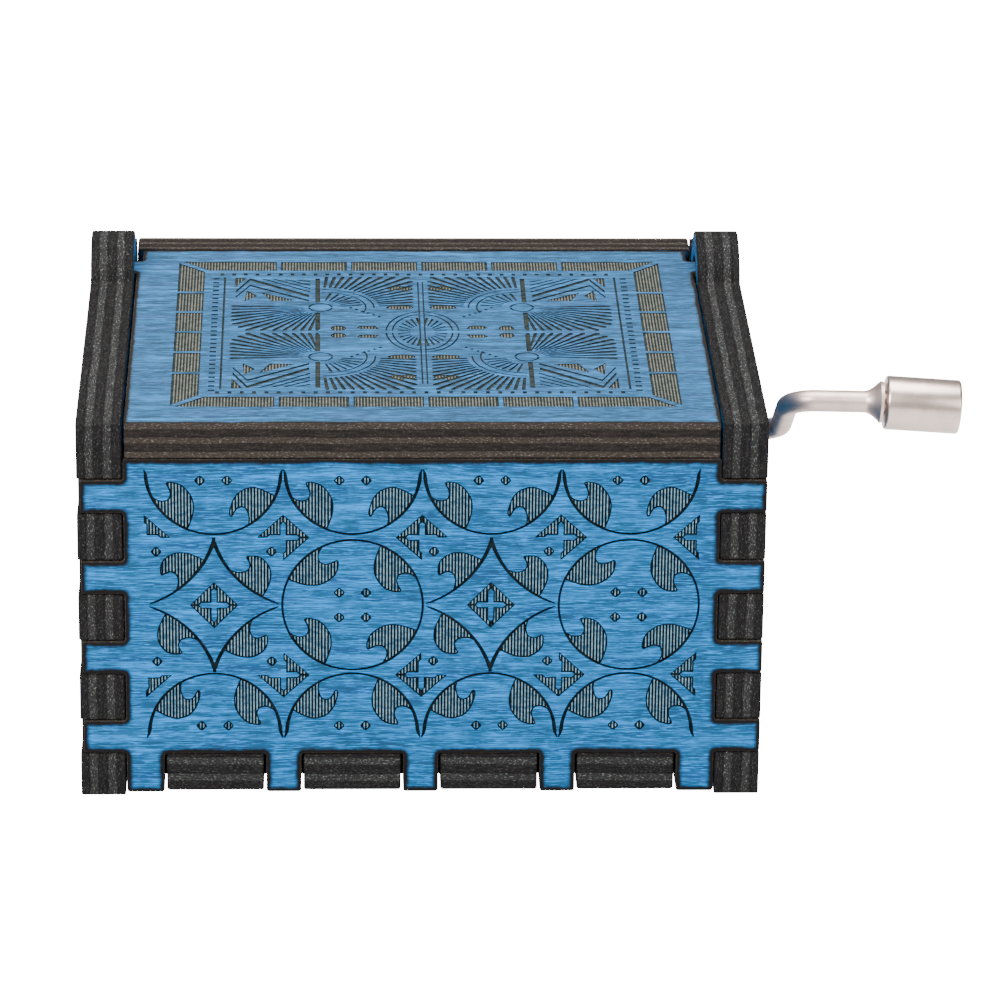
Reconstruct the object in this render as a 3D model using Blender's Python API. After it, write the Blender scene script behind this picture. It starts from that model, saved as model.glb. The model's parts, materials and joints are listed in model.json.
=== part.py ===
"""Hand crank music box: a finger-jointed plywood case with a hinged lid, and a worm-driven comb movement.

Metres, +Z up. The origin is the centre of the case's underside. +X points to the crank, -Y is the front.
"""

import math

import bmesh
import bpy
from mathutils import Matrix, Vector

# Case
WIDTH = 0.064
DEPTH = 0.052
HEIGHT = 0.0377
SIDE_PLY = 0.0042
PLY = 0.0035
BASE_PLY = 0.0042
JOINT_GAP = 0.00012
TAB_HEIGHT = 0.00325
TAB_PITCH = 0.0081
FINGER_WIDTH = 0.0033
FINGER_PITCH = 0.0129
CORNER_FINGER = 0.003

# Lid and its pivot
EAR_RADIUS = 0.0052
PIVOT_BEHIND_CENTRE = 0.0173
PIVOT_TAB_WIDTH = 0.00335
PIVOT_CLEARANCE = 0.0002
LID_SIDE_GAP = 0.00025
LID_REST_GAP = 0.0001
LID_SWING_GAP = 0.00012
LID_RELIEF = 0.0005
TAB_INSET = 0.0001

# Crank
SHAFT_Y = 0.010
SHAFT_Z = 0.0231
WIRE_RADIUS = 0.00106
ARM_STANDOFF = 0.0041
ARM_FORWARD = 0.010
ARM_RISE = 0.00695
ARM_BEND = 0.0026
ROD_LENGTH = 0.0088
ROD_DROOP = math.radians(1.2)
KNOB_DROOP = math.radians(4.0)
FLARE_LENGTH = 0.0015
FLARE_RADIUS = 0.00203
KNOB_RADIUS = 0.00263
KNOB_LENGTH = 0.0073
KNOB_EDGE = 0.0003
KNOB_WALL = 0.0011
SPINDLE_RADIUS = 0.001
KNOB_GAP = 0.00025
SHAFT_HOLE_CLEARANCE = 0.0009
SHOULDER_STEP = 0.00001

# Worm shaft, whose sleeve holds the end of the crank
SHAFT_TAIL = 0.0018
SLEEVE_WALL_GAP = 0.0012
SLEEVE_BRACKET_GAP = 0.0008
SLEEVE_FLOOR = 0.001
CRANK_END_GAP = 0.0005
SLEEVE_RATIO = 1.8
CLIP_INSET = 0.0006
CLIP_THICKNESS = 0.0007
CLIP_RATIO = 2.2

# Movement
MOVEMENT_X = 0.007
GEAR_MODULE = 0.00055
WHEEL_TEETH = 24
WHEEL_WIDTH = 0.003
WORM_PITCH_RADIUS = 0.0024
WORM_LENGTH = 0.0085
BRACKET_FROM_WORM = 0.005
THREAD_SUNK = 0.0003
THREAD_RUN_OUT = 1.2
BACKLASH = 0.00013
PRESSURE_ANGLE = math.radians(20)
RUNNING_CLEARANCE = 0.0001
DRUM_RADIUS = 0.0062
DRUM_WALL = 0.0006
DRUM_LENGTH = 0.019
DRUM_CENTRE_Y = -0.004
DRUM_MARGIN = 0.0005
DRUM_SIDES = 36
CAP_THICKNESS = 0.0015
PIN_HEIGHT = 0.0005
PIN_RADIUS = 0.00018
PINS_PER_NOTE = 2
NOTES = 18
ARBOR_RADIUS = 0.001
ARBOR_PROUD = 0.0004
HUB_GAP = 0.0005
HUB_RATIO = 2.6
BEDPLATE_THICKNESS = 0.0016
BEDPLATE_WALL_GAP = 0.0008
BEDPLATE_RIGHT_GAP = 0.0018
BEDPLATE_PAST_COMB = 0.002
POST_THICKNESS = 0.002
POST_HALF_WIDTH = 0.0036
FOOT_THICKNESS = 0.0012
FOOT_LENGTH = 0.0046
POST_GAP = 0.0013
COMB_THICKNESS = 0.001
COMB_LENGTH = 0.0185
COMB_ROOT = 0.0075
COMB_TIP_GAP = 0.0003
COMB_ABOVE_AXIS = 0.0004
COMB_HOLE_LENGTH = 0.0075
COMB_SCREW_GRIP = 0.003
TOOTH_GAP = 0.0003
TOOTH_TAPER = 0.1
WEIGHTED_TEETH = 5
WEIGHT_DEPTH = 0.0018
WEIGHT_STEP = 0.12
WEIGHT_WIDTH = 0.75
WEIGHT_FROM_TIP = 0.0015
WEIGHT_LENGTH = 0.0027
SCREW_RADIUS = 0.0008
SCREW_HEAD_RADIUS = 0.0015
SCREW_HEAD_HEIGHT = 0.0009
BASE_SCREW_HEAD_RADIUS = 0.002
BASE_SCREW_INSET = 0.004
BASE_SCREW_FROM_DRUM = (-0.023, 0.0125, -0.02)
SEAT_GAP = 0.0002
ROUND_SIDES = 32
SMALL_SIDES = 12
THREAD_STEPS = 16
EAR_STEPS = 20
BRACKET_STEPS = 10

# What follows from them
HALF_WIDTH = WIDTH / 2
HALF_DEPTH = DEPTH / 2
INNER_HALF_WIDTH = HALF_WIDTH - SIDE_PLY
INNER_HALF_DEPTH = HALF_DEPTH - PLY
FRONT_HEIGHT = HEIGHT - PLY - LID_REST_GAP
PIVOT = Vector((0, PIVOT_BEHIND_CENTRE, HEIGHT - PLY / 2))
TAB_REACH = math.hypot(PLY / 2, PIVOT_TAB_WIDTH / 2)
LID_OVERHANG = math.sqrt((INNER_HALF_DEPTH - PIVOT.y - LID_SWING_GAP) ** 2 - (PLY / 2) ** 2)
SHAFT = Vector((0, SHAFT_Y, SHAFT_Z))
THREAD_PITCH = math.pi * GEAR_MODULE
WHEEL_PITCH_RADIUS = GEAR_MODULE * WHEEL_TEETH / 2
ADDENDUM = 0.95 * GEAR_MODULE
DEDENDUM = 1.2 * GEAR_MODULE
WORM_ROOT = WORM_PITCH_RADIUS - DEDENDUM
CYLINDER = Vector((MOVEMENT_X, 0, SHAFT_Z - WHEEL_PITCH_RADIUS - WORM_PITCH_RADIUS))
BED_LOW = BASE_PLY + SEAT_GAP
BED_TOP = BED_LOW + BEDPLATE_THICKNESS
FOOT_LOW = BED_TOP + SEAT_GAP
DRUM_FRONT = DRUM_CENTRE_Y - DRUM_LENGTH / 2
DRUM_REAR = DRUM_CENTRE_Y + DRUM_LENGTH / 2
POST_FRONT = DRUM_FRONT - POST_GAP
POST_REAR = SHAFT_Y + WHEEL_WIDTH / 2 + POST_GAP
COMB_TIP_X = MOVEMENT_X - DRUM_RADIUS - PIN_HEIGHT - COMB_TIP_GAP
COMB_LOW = CYLINDER.z + COMB_ABOVE_AXIS
COMB_ROOT_X = COMB_TIP_X - COMB_LENGTH
NOTE_PITCH = (DRUM_LENGTH - 2 * DRUM_MARGIN) / NOTES
BRACKET_REACH = WORM_LENGTH / 2 + BRACKET_FROM_WORM
SLEEVE_END = INNER_HALF_WIDTH - SLEEVE_WALL_GAP
SLEEVE_START = MOVEMENT_X + BRACKET_REACH + POST_THICKNESS + SLEEVE_BRACKET_GAP


def clear_scene():
    for obj in list(bpy.data.objects):
        bpy.data.objects.remove(obj, do_unlink=True)


def finish(name, colour, roughness, metallic=0.0):
    """A plain Principled material."""
    material = bpy.data.materials.new(name)
    material.use_nodes = True
    shader = material.node_tree.nodes["Principled BSDF"]
    shader.inputs["Base Color"].default_value = (*colour, 1)
    shader.inputs["Roughness"].default_value = roughness
    shader.inputs["Metallic"].default_value = metallic
    return material


def on_xy(u, v, w):
    return Vector((u, v, w))


def on_xz(u, v, w):
    return Vector((u, w, v))


def on_yz(u, v, w):
    return Vector((w, u, v))


def stand(name, bm, material, pivot=(0, 0, 0), turn=(0, 0, 0), smooth=False):
    """Makes an object of bm, which is in world coordinates unless turned, with its origin at pivot."""
    pivot = Vector(pivot)
    bmesh.ops.remove_doubles(bm, verts=bm.verts, dist=1e-8)
    bmesh.ops.recalc_face_normals(bm, faces=bm.faces)
    if not any(turn):
        bmesh.ops.translate(bm, verts=bm.verts, vec=-pivot)
    mesh = bpy.data.meshes.new(name)
    bm.to_mesh(mesh)
    bm.free()
    if smooth:
        mesh.shade_smooth()
        mesh.set_sharp_from_angle(angle=math.radians(35))
    obj = bpy.data.objects.new(name, mesh)
    obj.location = pivot
    obj.rotation_euler = turn
    if material:
        mesh.materials.append(material)
    bpy.context.scene.collection.objects.link(obj)
    return obj


def slab(outline, low, high, place, twist=None):
    """A closed prism of the outline between two levels. twist moves the outline's points at each level."""
    bm = bmesh.new()
    rings = []
    for level in (low, high):
        points = [twist(u, v, level) for u, v in outline] if twist else outline
        rings.append([bm.verts.new(place(u, v, level)) for u, v in points])
    bm.faces.new(rings[0])
    bm.faces.new(rings[1])
    for i in range(len(outline)):
        j = (i + 1) % len(outline)
        bm.faces.new((rings[0][i], rings[0][j], rings[1][j], rings[1][i]))
    return bm


def box(low, high):
    (x0, y0, z0), (x1, y1, z1) = low, high
    return slab([(x0, y0), (x1, y0), (x1, y1), (x0, y1)], z0, z1, on_xy)


def turned(profile, axis, centre, sides=ROUND_SIDES):
    """A solid of revolution. profile is (radius, height) pairs; heights run along axis from centre.

    A profile that starts and ends on the axis is solid, and any other closes on itself round a bore.
    """
    axis = Vector(axis).normalized()
    across = axis.orthogonal().normalized()
    beside = axis.cross(across)
    bored = profile[0][0] > 0
    bm = bmesh.new()
    rings = []
    for radius, height in profile:
        middle = Vector(centre) + axis * height
        if radius == 0:
            rings.append([bm.verts.new(middle)] * sides)
            continue
        ring = []
        for i in range(sides):
            angle = math.tau * i / sides
            out = across * math.cos(angle) + beside * math.sin(angle)
            ring.append(bm.verts.new(middle + radius * out))
        rings.append(ring)
    pairs = list(zip(rings, rings[1:]))
    if bored:
        pairs.append((rings[-1], rings[0]))
    for first, second in pairs:
        for i in range(sides):
            j = (i + 1) % sides
            corners = [first[i], first[j], second[j], second[i]]
            corners = list(dict.fromkeys(corners))
            bm.faces.new(corners)
    return bm


def swept(path, radii, sides=SMALL_SIDES):
    """A round bar along path, with a radius at each of its points and flat ends."""
    bm = bmesh.new()
    rings = []
    across = Vector((0, 0, 1))
    for i, (point, radius) in enumerate(zip(path, radii)):
        before = path[max(i - 1, 0)]
        after = path[min(i + 1, len(path) - 1)]
        along = (after - before).normalized()
        across = (across - along * across.dot(along)).normalized()
        beside = along.cross(across)
        ring = []
        for k in range(sides):
            angle = math.tau * k / sides
            out = across * math.cos(angle) + beside * math.sin(angle)
            ring.append(bm.verts.new(point + radius * out))
        rings.append(ring)
    for first, second in zip(rings, rings[1:]):
        for i in range(sides):
            j = (i + 1) % sides
            bm.faces.new((first[i], first[j], second[j], second[i]))
    bm.faces.new(rings[0])
    bm.faces.new(rings[-1])
    return bm


def rounded(start, corner, end, radius, steps=6):
    """Points of the arc that rounds a corner between two straight stretches."""
    inward, outward = (start - corner).normalized(), (end - corner).normalized()
    half = inward.angle(outward) / 2
    centre = corner + (inward + outward).normalized() * radius / math.sin(half)
    first = corner + inward * radius / math.tan(half) - centre
    last = corner + outward * radius / math.tan(half) - centre
    sweep = first.angle(last)
    normal = first.cross(last).normalized()
    return [centre + Matrix.Rotation(sweep * i / steps, 3, normal) @ first for i in range(steps + 1)]


def modify(obj, cutter, operation):
    """Adds an exact Boolean of cutter, a helper that isn't part of the model."""
    cutter.hide_render = True
    cutter.display_type = "WIRE"
    modifier = obj.modifiers.new(cutter.name, "BOOLEAN")
    modifier.operation = operation
    modifier.object = cutter
    modifier.solver = "EXACT"


def drill(obj, centre, axis, radius, length, sides=SMALL_SIDES):
    """Cuts a round hole of this length, half of it each way from centre."""
    profile = [(0, -length / 2), (radius, -length / 2), (radius, length / 2), (0, length / 2)]
    cutter = stand(f"{obj.name}_hole_{len(obj.modifiers)}", turned(profile, axis, centre, sides), None)
    modify(obj, cutter, "DIFFERENCE")


def toothed_edge(start, end, spans, offset):
    """Points along an edge, moved by offset over each span, which is (from, to) measured along the edge."""
    start, end, offset = Vector(start), Vector(end), Vector(offset)
    along = (end - start).normalized()
    points = [start]
    for low, high in spans:
        near, far = start + along * low, start + along * high
        points += [near, near + offset, far + offset, far]
    return points


def tab_levels():
    """(low, high) of each side tab of the front and back panels."""
    low = BASE_PLY + 2 * JOINT_GAP
    count = int((FRONT_HEIGHT - low - TAB_HEIGHT) / TAB_PITCH) + 1
    return [(low + i * TAB_PITCH, low + i * TAB_PITCH + TAB_HEIGHT) for i in range(count)]


def base_tabs(half_length, between):
    """(low, high) of the bottom panel's tabs along an edge. between puts a finger at the middle, not a tab."""
    width = FINGER_PITCH - FINGER_WIDTH - 2 * JOINT_GAP
    room = half_length - CORNER_FINGER - width / 2
    shift = FINGER_PITCH / 2 if between else 0
    count = int((room - shift) / FINGER_PITCH)
    steps = range(-count - 1, count + 1) if between else range(-count, count + 1)
    return [(i * FINGER_PITCH + shift - width / 2, i * FINGER_PITCH + shift + width / 2) for i in steps]


def widened(spans, by):
    return [(low - by, high + by) for low, high in spans]


def shifted(spans, by):
    return [(low + by, high + by) for low, high in spans]


def backwards(spans, length):
    return [(length - high, length - low) for low, high in reversed(spans)]


def end_panel_outline(top):
    """The front or back panel, seen from the front: tabs at both sides, slots along the bottom."""
    half = INNER_HALF_WIDTH - JOINT_GAP
    reach = HALF_WIDTH - half
    slots = shifted(widened(base_tabs(INNER_HALF_WIDTH, True), JOINT_GAP), half)
    tabs = tab_levels()
    slot_height = BASE_PLY + JOINT_GAP
    outline = toothed_edge((-half, 0), (half, 0), slots, (0, slot_height))
    outline += toothed_edge((half, 0), (half, top), tabs, (reach, 0))
    outline += [Vector((half, top))]
    outline += toothed_edge((-half, top), (-half, 0), backwards(tabs, top), (-reach, 0))
    return outline


def side_panel_outline():
    """A side panel seen along X: notches at front, back and bottom, and the ear that holds the lid."""
    notches = widened(tab_levels(), JOINT_GAP)
    depth = PLY + JOINT_GAP
    slots = shifted(widened(base_tabs(INNER_HALF_DEPTH, False), JOINT_GAP), HALF_DEPTH)
    slot_height = BASE_PLY + JOINT_GAP
    outline = toothed_edge((-HALF_DEPTH, 0), (HALF_DEPTH, 0), slots, (0, slot_height))
    outline += toothed_edge((HALF_DEPTH, 0), (HALF_DEPTH, HEIGHT), notches, (-depth, 0))
    outline += [Vector((HALF_DEPTH, HEIGHT))]
    start = math.asin((HEIGHT - PIVOT.z) / EAR_RADIUS)
    for i in range(EAR_STEPS + 1):
        angle = start + (math.pi - 2 * start) * i / EAR_STEPS
        out = Vector((math.cos(angle), math.sin(angle)))
        outline.append(PIVOT.yz + EAR_RADIUS * out)
    rear = toothed_edge((-HALF_DEPTH, HEIGHT), (-HALF_DEPTH, 0), backwards(notches, HEIGHT), (depth, 0))
    return outline + rear


def bottom_panel_outline():
    half_x, half_y = INNER_HALF_WIDTH - JOINT_GAP, INNER_HALF_DEPTH - JOINT_GAP
    along_x = shifted(base_tabs(INNER_HALF_WIDTH, True), half_x)
    along_y = shifted(base_tabs(INNER_HALF_DEPTH, False), half_y)
    reach_x, reach_y = HALF_WIDTH - half_x, HALF_DEPTH - half_y
    outline = toothed_edge((-half_x, -half_y), (half_x, -half_y), along_x, (0, -reach_y))
    outline += toothed_edge((half_x, -half_y), (half_x, half_y), along_y, (reach_x, 0))
    outline += toothed_edge((half_x, half_y), (-half_x, half_y), along_x, (0, reach_y))
    outline += toothed_edge((-half_x, half_y), (-half_x, -half_y), along_y, (-reach_x, 0))
    return outline


def base_screw_places():
    """Where the movement is screwed down through the bottom panel."""
    edge = INNER_HALF_DEPTH - BASE_SCREW_INSET
    front_left, front_right, rear_left = (MOVEMENT_X + offset for offset in BASE_SCREW_FROM_DRUM)
    return [(front_left, -edge), (front_right, -edge), (rear_left, edge)]


def case(dyed, raw):
    """The five fixed panels."""
    stand("front_panel", slab(end_panel_outline(FRONT_HEIGHT), -HALF_DEPTH, -INNER_HALF_DEPTH, on_xz), dyed)
    stand("back_panel", slab(end_panel_outline(HEIGHT), INNER_HALF_DEPTH, HALF_DEPTH, on_xz), dyed)
    for name, side in (("left_panel", -1), ("right_panel", 1)):
        levels = sorted((side * INNER_HALF_WIDTH, side * HALF_WIDTH))
        panel = stand(name, slab(side_panel_outline(), *levels, on_yz), dyed)
        middle = side * (HALF_WIDTH - SIDE_PLY / 2)
        hole = TAB_REACH + PIVOT_CLEARANCE
        drill(panel, (middle, PIVOT.y, PIVOT.z), (1, 0, 0), hole, 2 * SIDE_PLY, ROUND_SIDES)
        if side > 0:
            hole = WIRE_RADIUS + SHAFT_HOLE_CLEARANCE
            drill(panel, (middle, SHAFT.y, SHAFT.z), (1, 0, 0), hole, 2 * SIDE_PLY, ROUND_SIDES)
    bottom = stand("bottom_panel", slab(bottom_panel_outline(), 0, BASE_PLY, on_xy), raw)
    for x, y in base_screw_places():
        drill(bottom, (x, y, 0), (0, 0, 1), SCREW_RADIUS + RUNNING_CLEARANCE, 4 * BASE_PLY)
        wide = BASE_SCREW_HEAD_RADIUS + SEAT_GAP + 2 * JOINT_GAP
        cone = [(0, -wide), (2 * wide, -wide), (0, wide)]
        cutter = turned(cone, (0, 0, 1), (x, y, 0), SMALL_SIDES)
        modify(bottom, stand(f"countersink_{len(bottom.modifiers)}", cutter, None), "DIFFERENCE")


def lid(dyed):
    """The lid with its two pivot tabs, its origin on the hinge line."""
    half = INNER_HALF_WIDTH - LID_SIDE_GAP
    narrow = half - LID_RELIEF
    relief = PIVOT.y - EAR_RADIUS
    rear = PIVOT.y + LID_OVERHANG
    tab_low, tab_high = PIVOT.y - PIVOT_TAB_WIDTH / 2, PIVOT.y + PIVOT_TAB_WIDTH / 2
    reach = HALF_WIDTH - TAB_INSET
    right = [(half, -HALF_DEPTH), (half, relief), (narrow, relief), (narrow, tab_low), (reach, tab_low)]
    right += [(reach, tab_high), (narrow, tab_high), (narrow, rear)]
    left = [(-x, y) for x, y in reversed(right)]
    stand("lid", slab(right + left, HEIGHT - PLY, HEIGHT, on_xy), dyed, PIVOT)


def crank_path():
    """(points, radii) of the bent crank, from inside the sleeve to the spindle's end."""
    arm_x = HALF_WIDTH + ARM_STANDOFF
    start = Vector((SLEEVE_START + SLEEVE_FLOOR + CRANK_END_GAP, SHAFT.y, SHAFT.z))
    low = Vector((arm_x, SHAFT.y, SHAFT.z))
    high = Vector((arm_x, SHAFT.y - ARM_FORWARD, SHAFT.z + ARM_RISE))
    along = Vector((math.cos(ROD_DROOP), 0, -math.sin(ROD_DROOP)))
    end = high + along * ROD_LENGTH
    spindle = Vector((math.cos(KNOB_DROOP), 0, -math.sin(KNOB_DROOP)))
    bends = rounded(start, low, high, ARM_BEND) + rounded(low, high, end, ARM_BEND)
    points = [start, *bends, end - along * FLARE_LENGTH, end - along * FLARE_LENGTH / 3, end]
    radii = [WIRE_RADIUS] * (len(bends) + 2) + [0.75 * FLARE_RADIUS, FLARE_RADIUS]
    shoulder = end + spindle * KNOB_GAP
    tip = shoulder + spindle * (KNOB_LENGTH - KNOB_WALL - 2 * KNOB_GAP)
    points += [shoulder, shoulder + spindle * SHOULDER_STEP, tip]
    radii += [FLARE_RADIUS, SPINDLE_RADIUS, SPINDLE_RADIUS]
    return points, radii, shoulder, spindle


def crank(nickel, steel, brass):
    """The bent crank, its knob, the worm shaft and what is fixed to it. Origins lie on the shaft's axis."""
    points, radii, shoulder, spindle = crank_path()
    stand("crank_handle", swept(points, radii), nickel, points[0], smooth=True)
    bore = SPINDLE_RADIUS + RUNNING_CLEARANCE
    depth = KNOB_LENGTH - KNOB_WALL
    profile = [(bore, 0), (KNOB_RADIUS - KNOB_EDGE, 0), (KNOB_RADIUS, KNOB_EDGE)]
    profile += [(KNOB_RADIUS, KNOB_LENGTH - KNOB_EDGE), (KNOB_RADIUS - KNOB_EDGE, KNOB_LENGTH)]
    knob = [(0, KNOB_LENGTH), *reversed(profile), (bore, depth), (0, depth)]
    base = shoulder + spindle * KNOB_GAP
    bm = turned(knob, (1, 0, 0), (0, 0, 0))
    stand("crank_knob", bm, nickel, base, (0, KNOB_DROOP, 0), smooth=True)

    origin = Vector((MOVEMENT_X, SHAFT.y, SHAFT.z))
    start = -BRACKET_REACH - POST_THICKNESS - SHAFT_TAIL
    sleeve_start, sleeve_end = SLEEVE_START - origin.x, SLEEVE_END - origin.x
    sleeve_radius = SLEEVE_RATIO * WIRE_RADIUS
    sleeve_bore = WIRE_RADIUS + RUNNING_CLEARANCE
    shaft = [(0, start), (WIRE_RADIUS, start), (WIRE_RADIUS, sleeve_start), (sleeve_radius, sleeve_start)]
    shaft += [(sleeve_radius, sleeve_end), (sleeve_bore, sleeve_end)]
    shaft += [(sleeve_bore, sleeve_start + SLEEVE_FLOOR), (0, sleeve_start + SLEEVE_FLOOR)]
    stand("worm_shaft", turned(shaft, (1, 0, 0), origin), steel, origin, smooth=True)
    near = start + CLIP_INSET
    far = near + CLIP_THICKNESS
    inner, outer = WIRE_RADIUS + RUNNING_CLEARANCE, CLIP_RATIO * WIRE_RADIUS
    clip = [(inner, near), (outer, near), (outer, far), (inner, far)]
    stand("shaft_clip", turned(clip, (1, 0, 0), origin, SMALL_SIDES), steel, origin, smooth=True)
    worm(brass, origin)


def worm(brass, origin):
    """A single-start right-hand worm. At rest a groove, not the thread, faces straight down."""
    half = WORM_LENGTH / 2
    bore = WIRE_RADIUS + RUNNING_CLEARANCE
    core = [(bore, -half), (WORM_ROOT, -half), (WORM_ROOT, half), (bore, half)]
    body = stand("worm", turned(core, (1, 0, 0), origin), brass, origin, smooth=True)
    thickness = THREAD_PITCH / 2 - BACKLASH
    slope = math.tan(PRESSURE_ANGLE)
    sunk, crest = WORM_ROOT - THREAD_SUNK, WORM_PITCH_RADIUS + ADDENDUM
    section = []
    for side, radius in ((-1, sunk), (-1, crest), (1, crest), (1, sunk)):
        section.append((side * (thickness / 2 - (radius - WORM_PITCH_RADIUS) * slope), radius))
    turns = WORM_LENGTH / THREAD_PITCH - THREAD_RUN_OUT
    steps = int(turns * THREAD_STEPS)
    bm = bmesh.new()
    rings = []
    for i in range(steps + 1):
        angle = (i / steps - 0.5) * turns * math.tau
        x = origin.x + THREAD_PITCH * (angle / math.tau + 0.5)
        out = Vector((0, math.sin(angle), -math.cos(angle)))
        rings.append([bm.verts.new(Vector((x + u, origin.y, origin.z)) + out * r) for u, r in section])
    for first, second in zip(rings, rings[1:]):
        for i in range(4):
            j = (i + 1) % 4
            bm.faces.new((first[i], first[j], second[j], second[i]))
    bm.faces.new(rings[0])
    bm.faces.new(rings[-1])
    modify(body, stand("worm_thread", bm, None), "UNION")


def wheel_outline():
    """The worm wheel's teeth about the origin, one of them pointing up."""
    thickness = THREAD_PITCH / 2 - BACKLASH
    slope = math.tan(PRESSURE_ANGLE)
    outline = []
    for tooth in range(WHEEL_TEETH):
        middle = math.tau * tooth / WHEEL_TEETH
        for side, rise in ((-1, -DEDENDUM), (-1, ADDENDUM), (1, ADDENDUM), (1, -DEDENDUM)):
            radius = WHEEL_PITCH_RADIUS + rise
            angle = middle + side * (thickness / 2 - rise * slope) / WHEEL_PITCH_RADIUS
            outline.append((radius * math.sin(angle), radius * math.cos(angle)))
    return outline


def cylinder(brass, steel, nylon):
    """The pinned drum, its caps and arbor, and the worm wheel. Origins lie on the drum's axis."""
    inner = DRUM_RADIUS - DRUM_WALL
    middle = Vector((CYLINDER.x, DRUM_CENTRE_Y, CYLINDER.z))
    half = DRUM_LENGTH / 2
    tube = [(inner, -half), (DRUM_RADIUS, -half), (DRUM_RADIUS, half), (inner, half)]
    drum = stand("cylinder_drum", turned(tube, (0, 1, 0), middle, DRUM_SIDES), brass, middle, smooth=True)
    pins = bmesh.new()
    golden = (math.sqrt(5) - 1) / 2
    for note in range(NOTES):
        for k in range(PINS_PER_NOTE):
            turn = (note * golden + k / PINS_PER_NOTE + 0.13 * math.sin(2.4 * note + 1.7 * k)) % 1
            out = Vector((math.cos(turn * math.tau), 0, math.sin(turn * math.tau)))
            aside = Vector((-out.z, 0, out.x)) * PIN_RADIUS
            along = Vector((0, PIN_RADIUS, 0))
            foot = Vector((middle.x, DRUM_FRONT + DRUM_MARGIN + NOTE_PITCH * (note + 0.5), middle.z))
            rings = []
            for radius in (DRUM_RADIUS - DRUM_WALL / 2, DRUM_RADIUS + PIN_HEIGHT):
                point = foot + out * radius
                corners = (point + aside, point + along, point - aside, point - along)
                rings.append([pins.verts.new(corner) for corner in corners])
            for i in range(4):
                j = (i + 1) % 4
                pins.faces.new((rings[0][i], rings[0][j], rings[1][j], rings[1][i]))
            pins.faces.new(rings[0])
            pins.faces.new(rings[1])
    modify(drum, stand("drum_pins", pins, None), "UNION")

    bore = ARBOR_RADIUS + RUNNING_CLEARANCE
    rim = inner - RUNNING_CLEARANCE
    places = {"cylinder_cap_front": DRUM_FRONT, "cylinder_cap_rear": DRUM_REAR - CAP_THICKNESS}
    for name, place in places.items():
        cap = [(bore, 0), (rim, 0), (rim, CAP_THICKNESS), (bore, CAP_THICKNESS)]
        centre = Vector((CYLINDER.x, place, CYLINDER.z))
        stand(name, turned(cap, (0, 1, 0), centre), brass, centre, smooth=True)
    front, rear = POST_FRONT - POST_THICKNESS - ARBOR_PROUD, POST_REAR + POST_THICKNESS + ARBOR_PROUD
    arbor = [(0, front), (ARBOR_RADIUS, front), (ARBOR_RADIUS, rear), (0, rear)]
    stand("cylinder_arbor", turned(arbor, (0, 1, 0), CYLINDER), steel, CYLINDER, smooth=True)

    lead_slope = THREAD_PITCH / (math.tau * WORM_PITCH_RADIUS)

    def twist(u, v, level):
        angle = (level - SHAFT.y) * lead_slope / WHEEL_PITCH_RADIUS
        return (
            CYLINDER.x + u * math.cos(angle) + v * math.sin(angle),
            CYLINDER.z + v * math.cos(angle) - u * math.sin(angle),
        )

    low, high = SHAFT.y - WHEEL_WIDTH / 2, SHAFT.y + WHEEL_WIDTH / 2
    wheel = stand("worm_wheel", slab(wheel_outline(), low, high, on_xz, twist), nylon, CYLINDER, smooth=True)
    hub_front = DRUM_REAR + HUB_GAP
    hub_radius = HUB_RATIO * ARBOR_RADIUS
    hub = [(0, hub_front), (hub_radius, hub_front), (hub_radius, SHAFT.y), (0, SHAFT.y)]
    modify(wheel, stand("wheel_hub", turned(hub, (0, 1, 0), CYLINDER), None), "UNION")
    drill(wheel, (CYLINDER.x, SHAFT.y, CYLINDER.z), (0, 1, 0), bore, 4 * WHEEL_WIDTH)


def screw(name, place, axis, grip, steel, head_radius=SCREW_HEAD_RADIUS, cone=False):
    """A slotted screw whose head's underside is at place. grip is how far the shank runs against axis."""
    axis = Vector(axis)
    height = SCREW_HEAD_HEIGHT
    if cone:
        height = head_radius - SCREW_RADIUS
        head = [(head_radius, height), (SCREW_RADIUS, 0)]
    else:
        edge = 0.2 * SCREW_HEAD_HEIGHT
        head = [(head_radius - edge, height), (head_radius, height - edge)]
        head += [(head_radius, 0), (SCREW_RADIUS, 0)]
    profile = [(0, height), *head, (SCREW_RADIUS, -grip), (0, -grip)]
    obj = stand(name, turned(profile, axis, place, SMALL_SIDES), steel, place, smooth=True)
    top = Vector(place) + axis * height
    reach = Vector((1.2 * head_radius, 0.2 * head_radius, 0.35 * SCREW_HEAD_HEIGHT))
    modify(obj, stand(f"{name}_slot", box(top - reach, top + reach), None), "DIFFERENCE")


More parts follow.
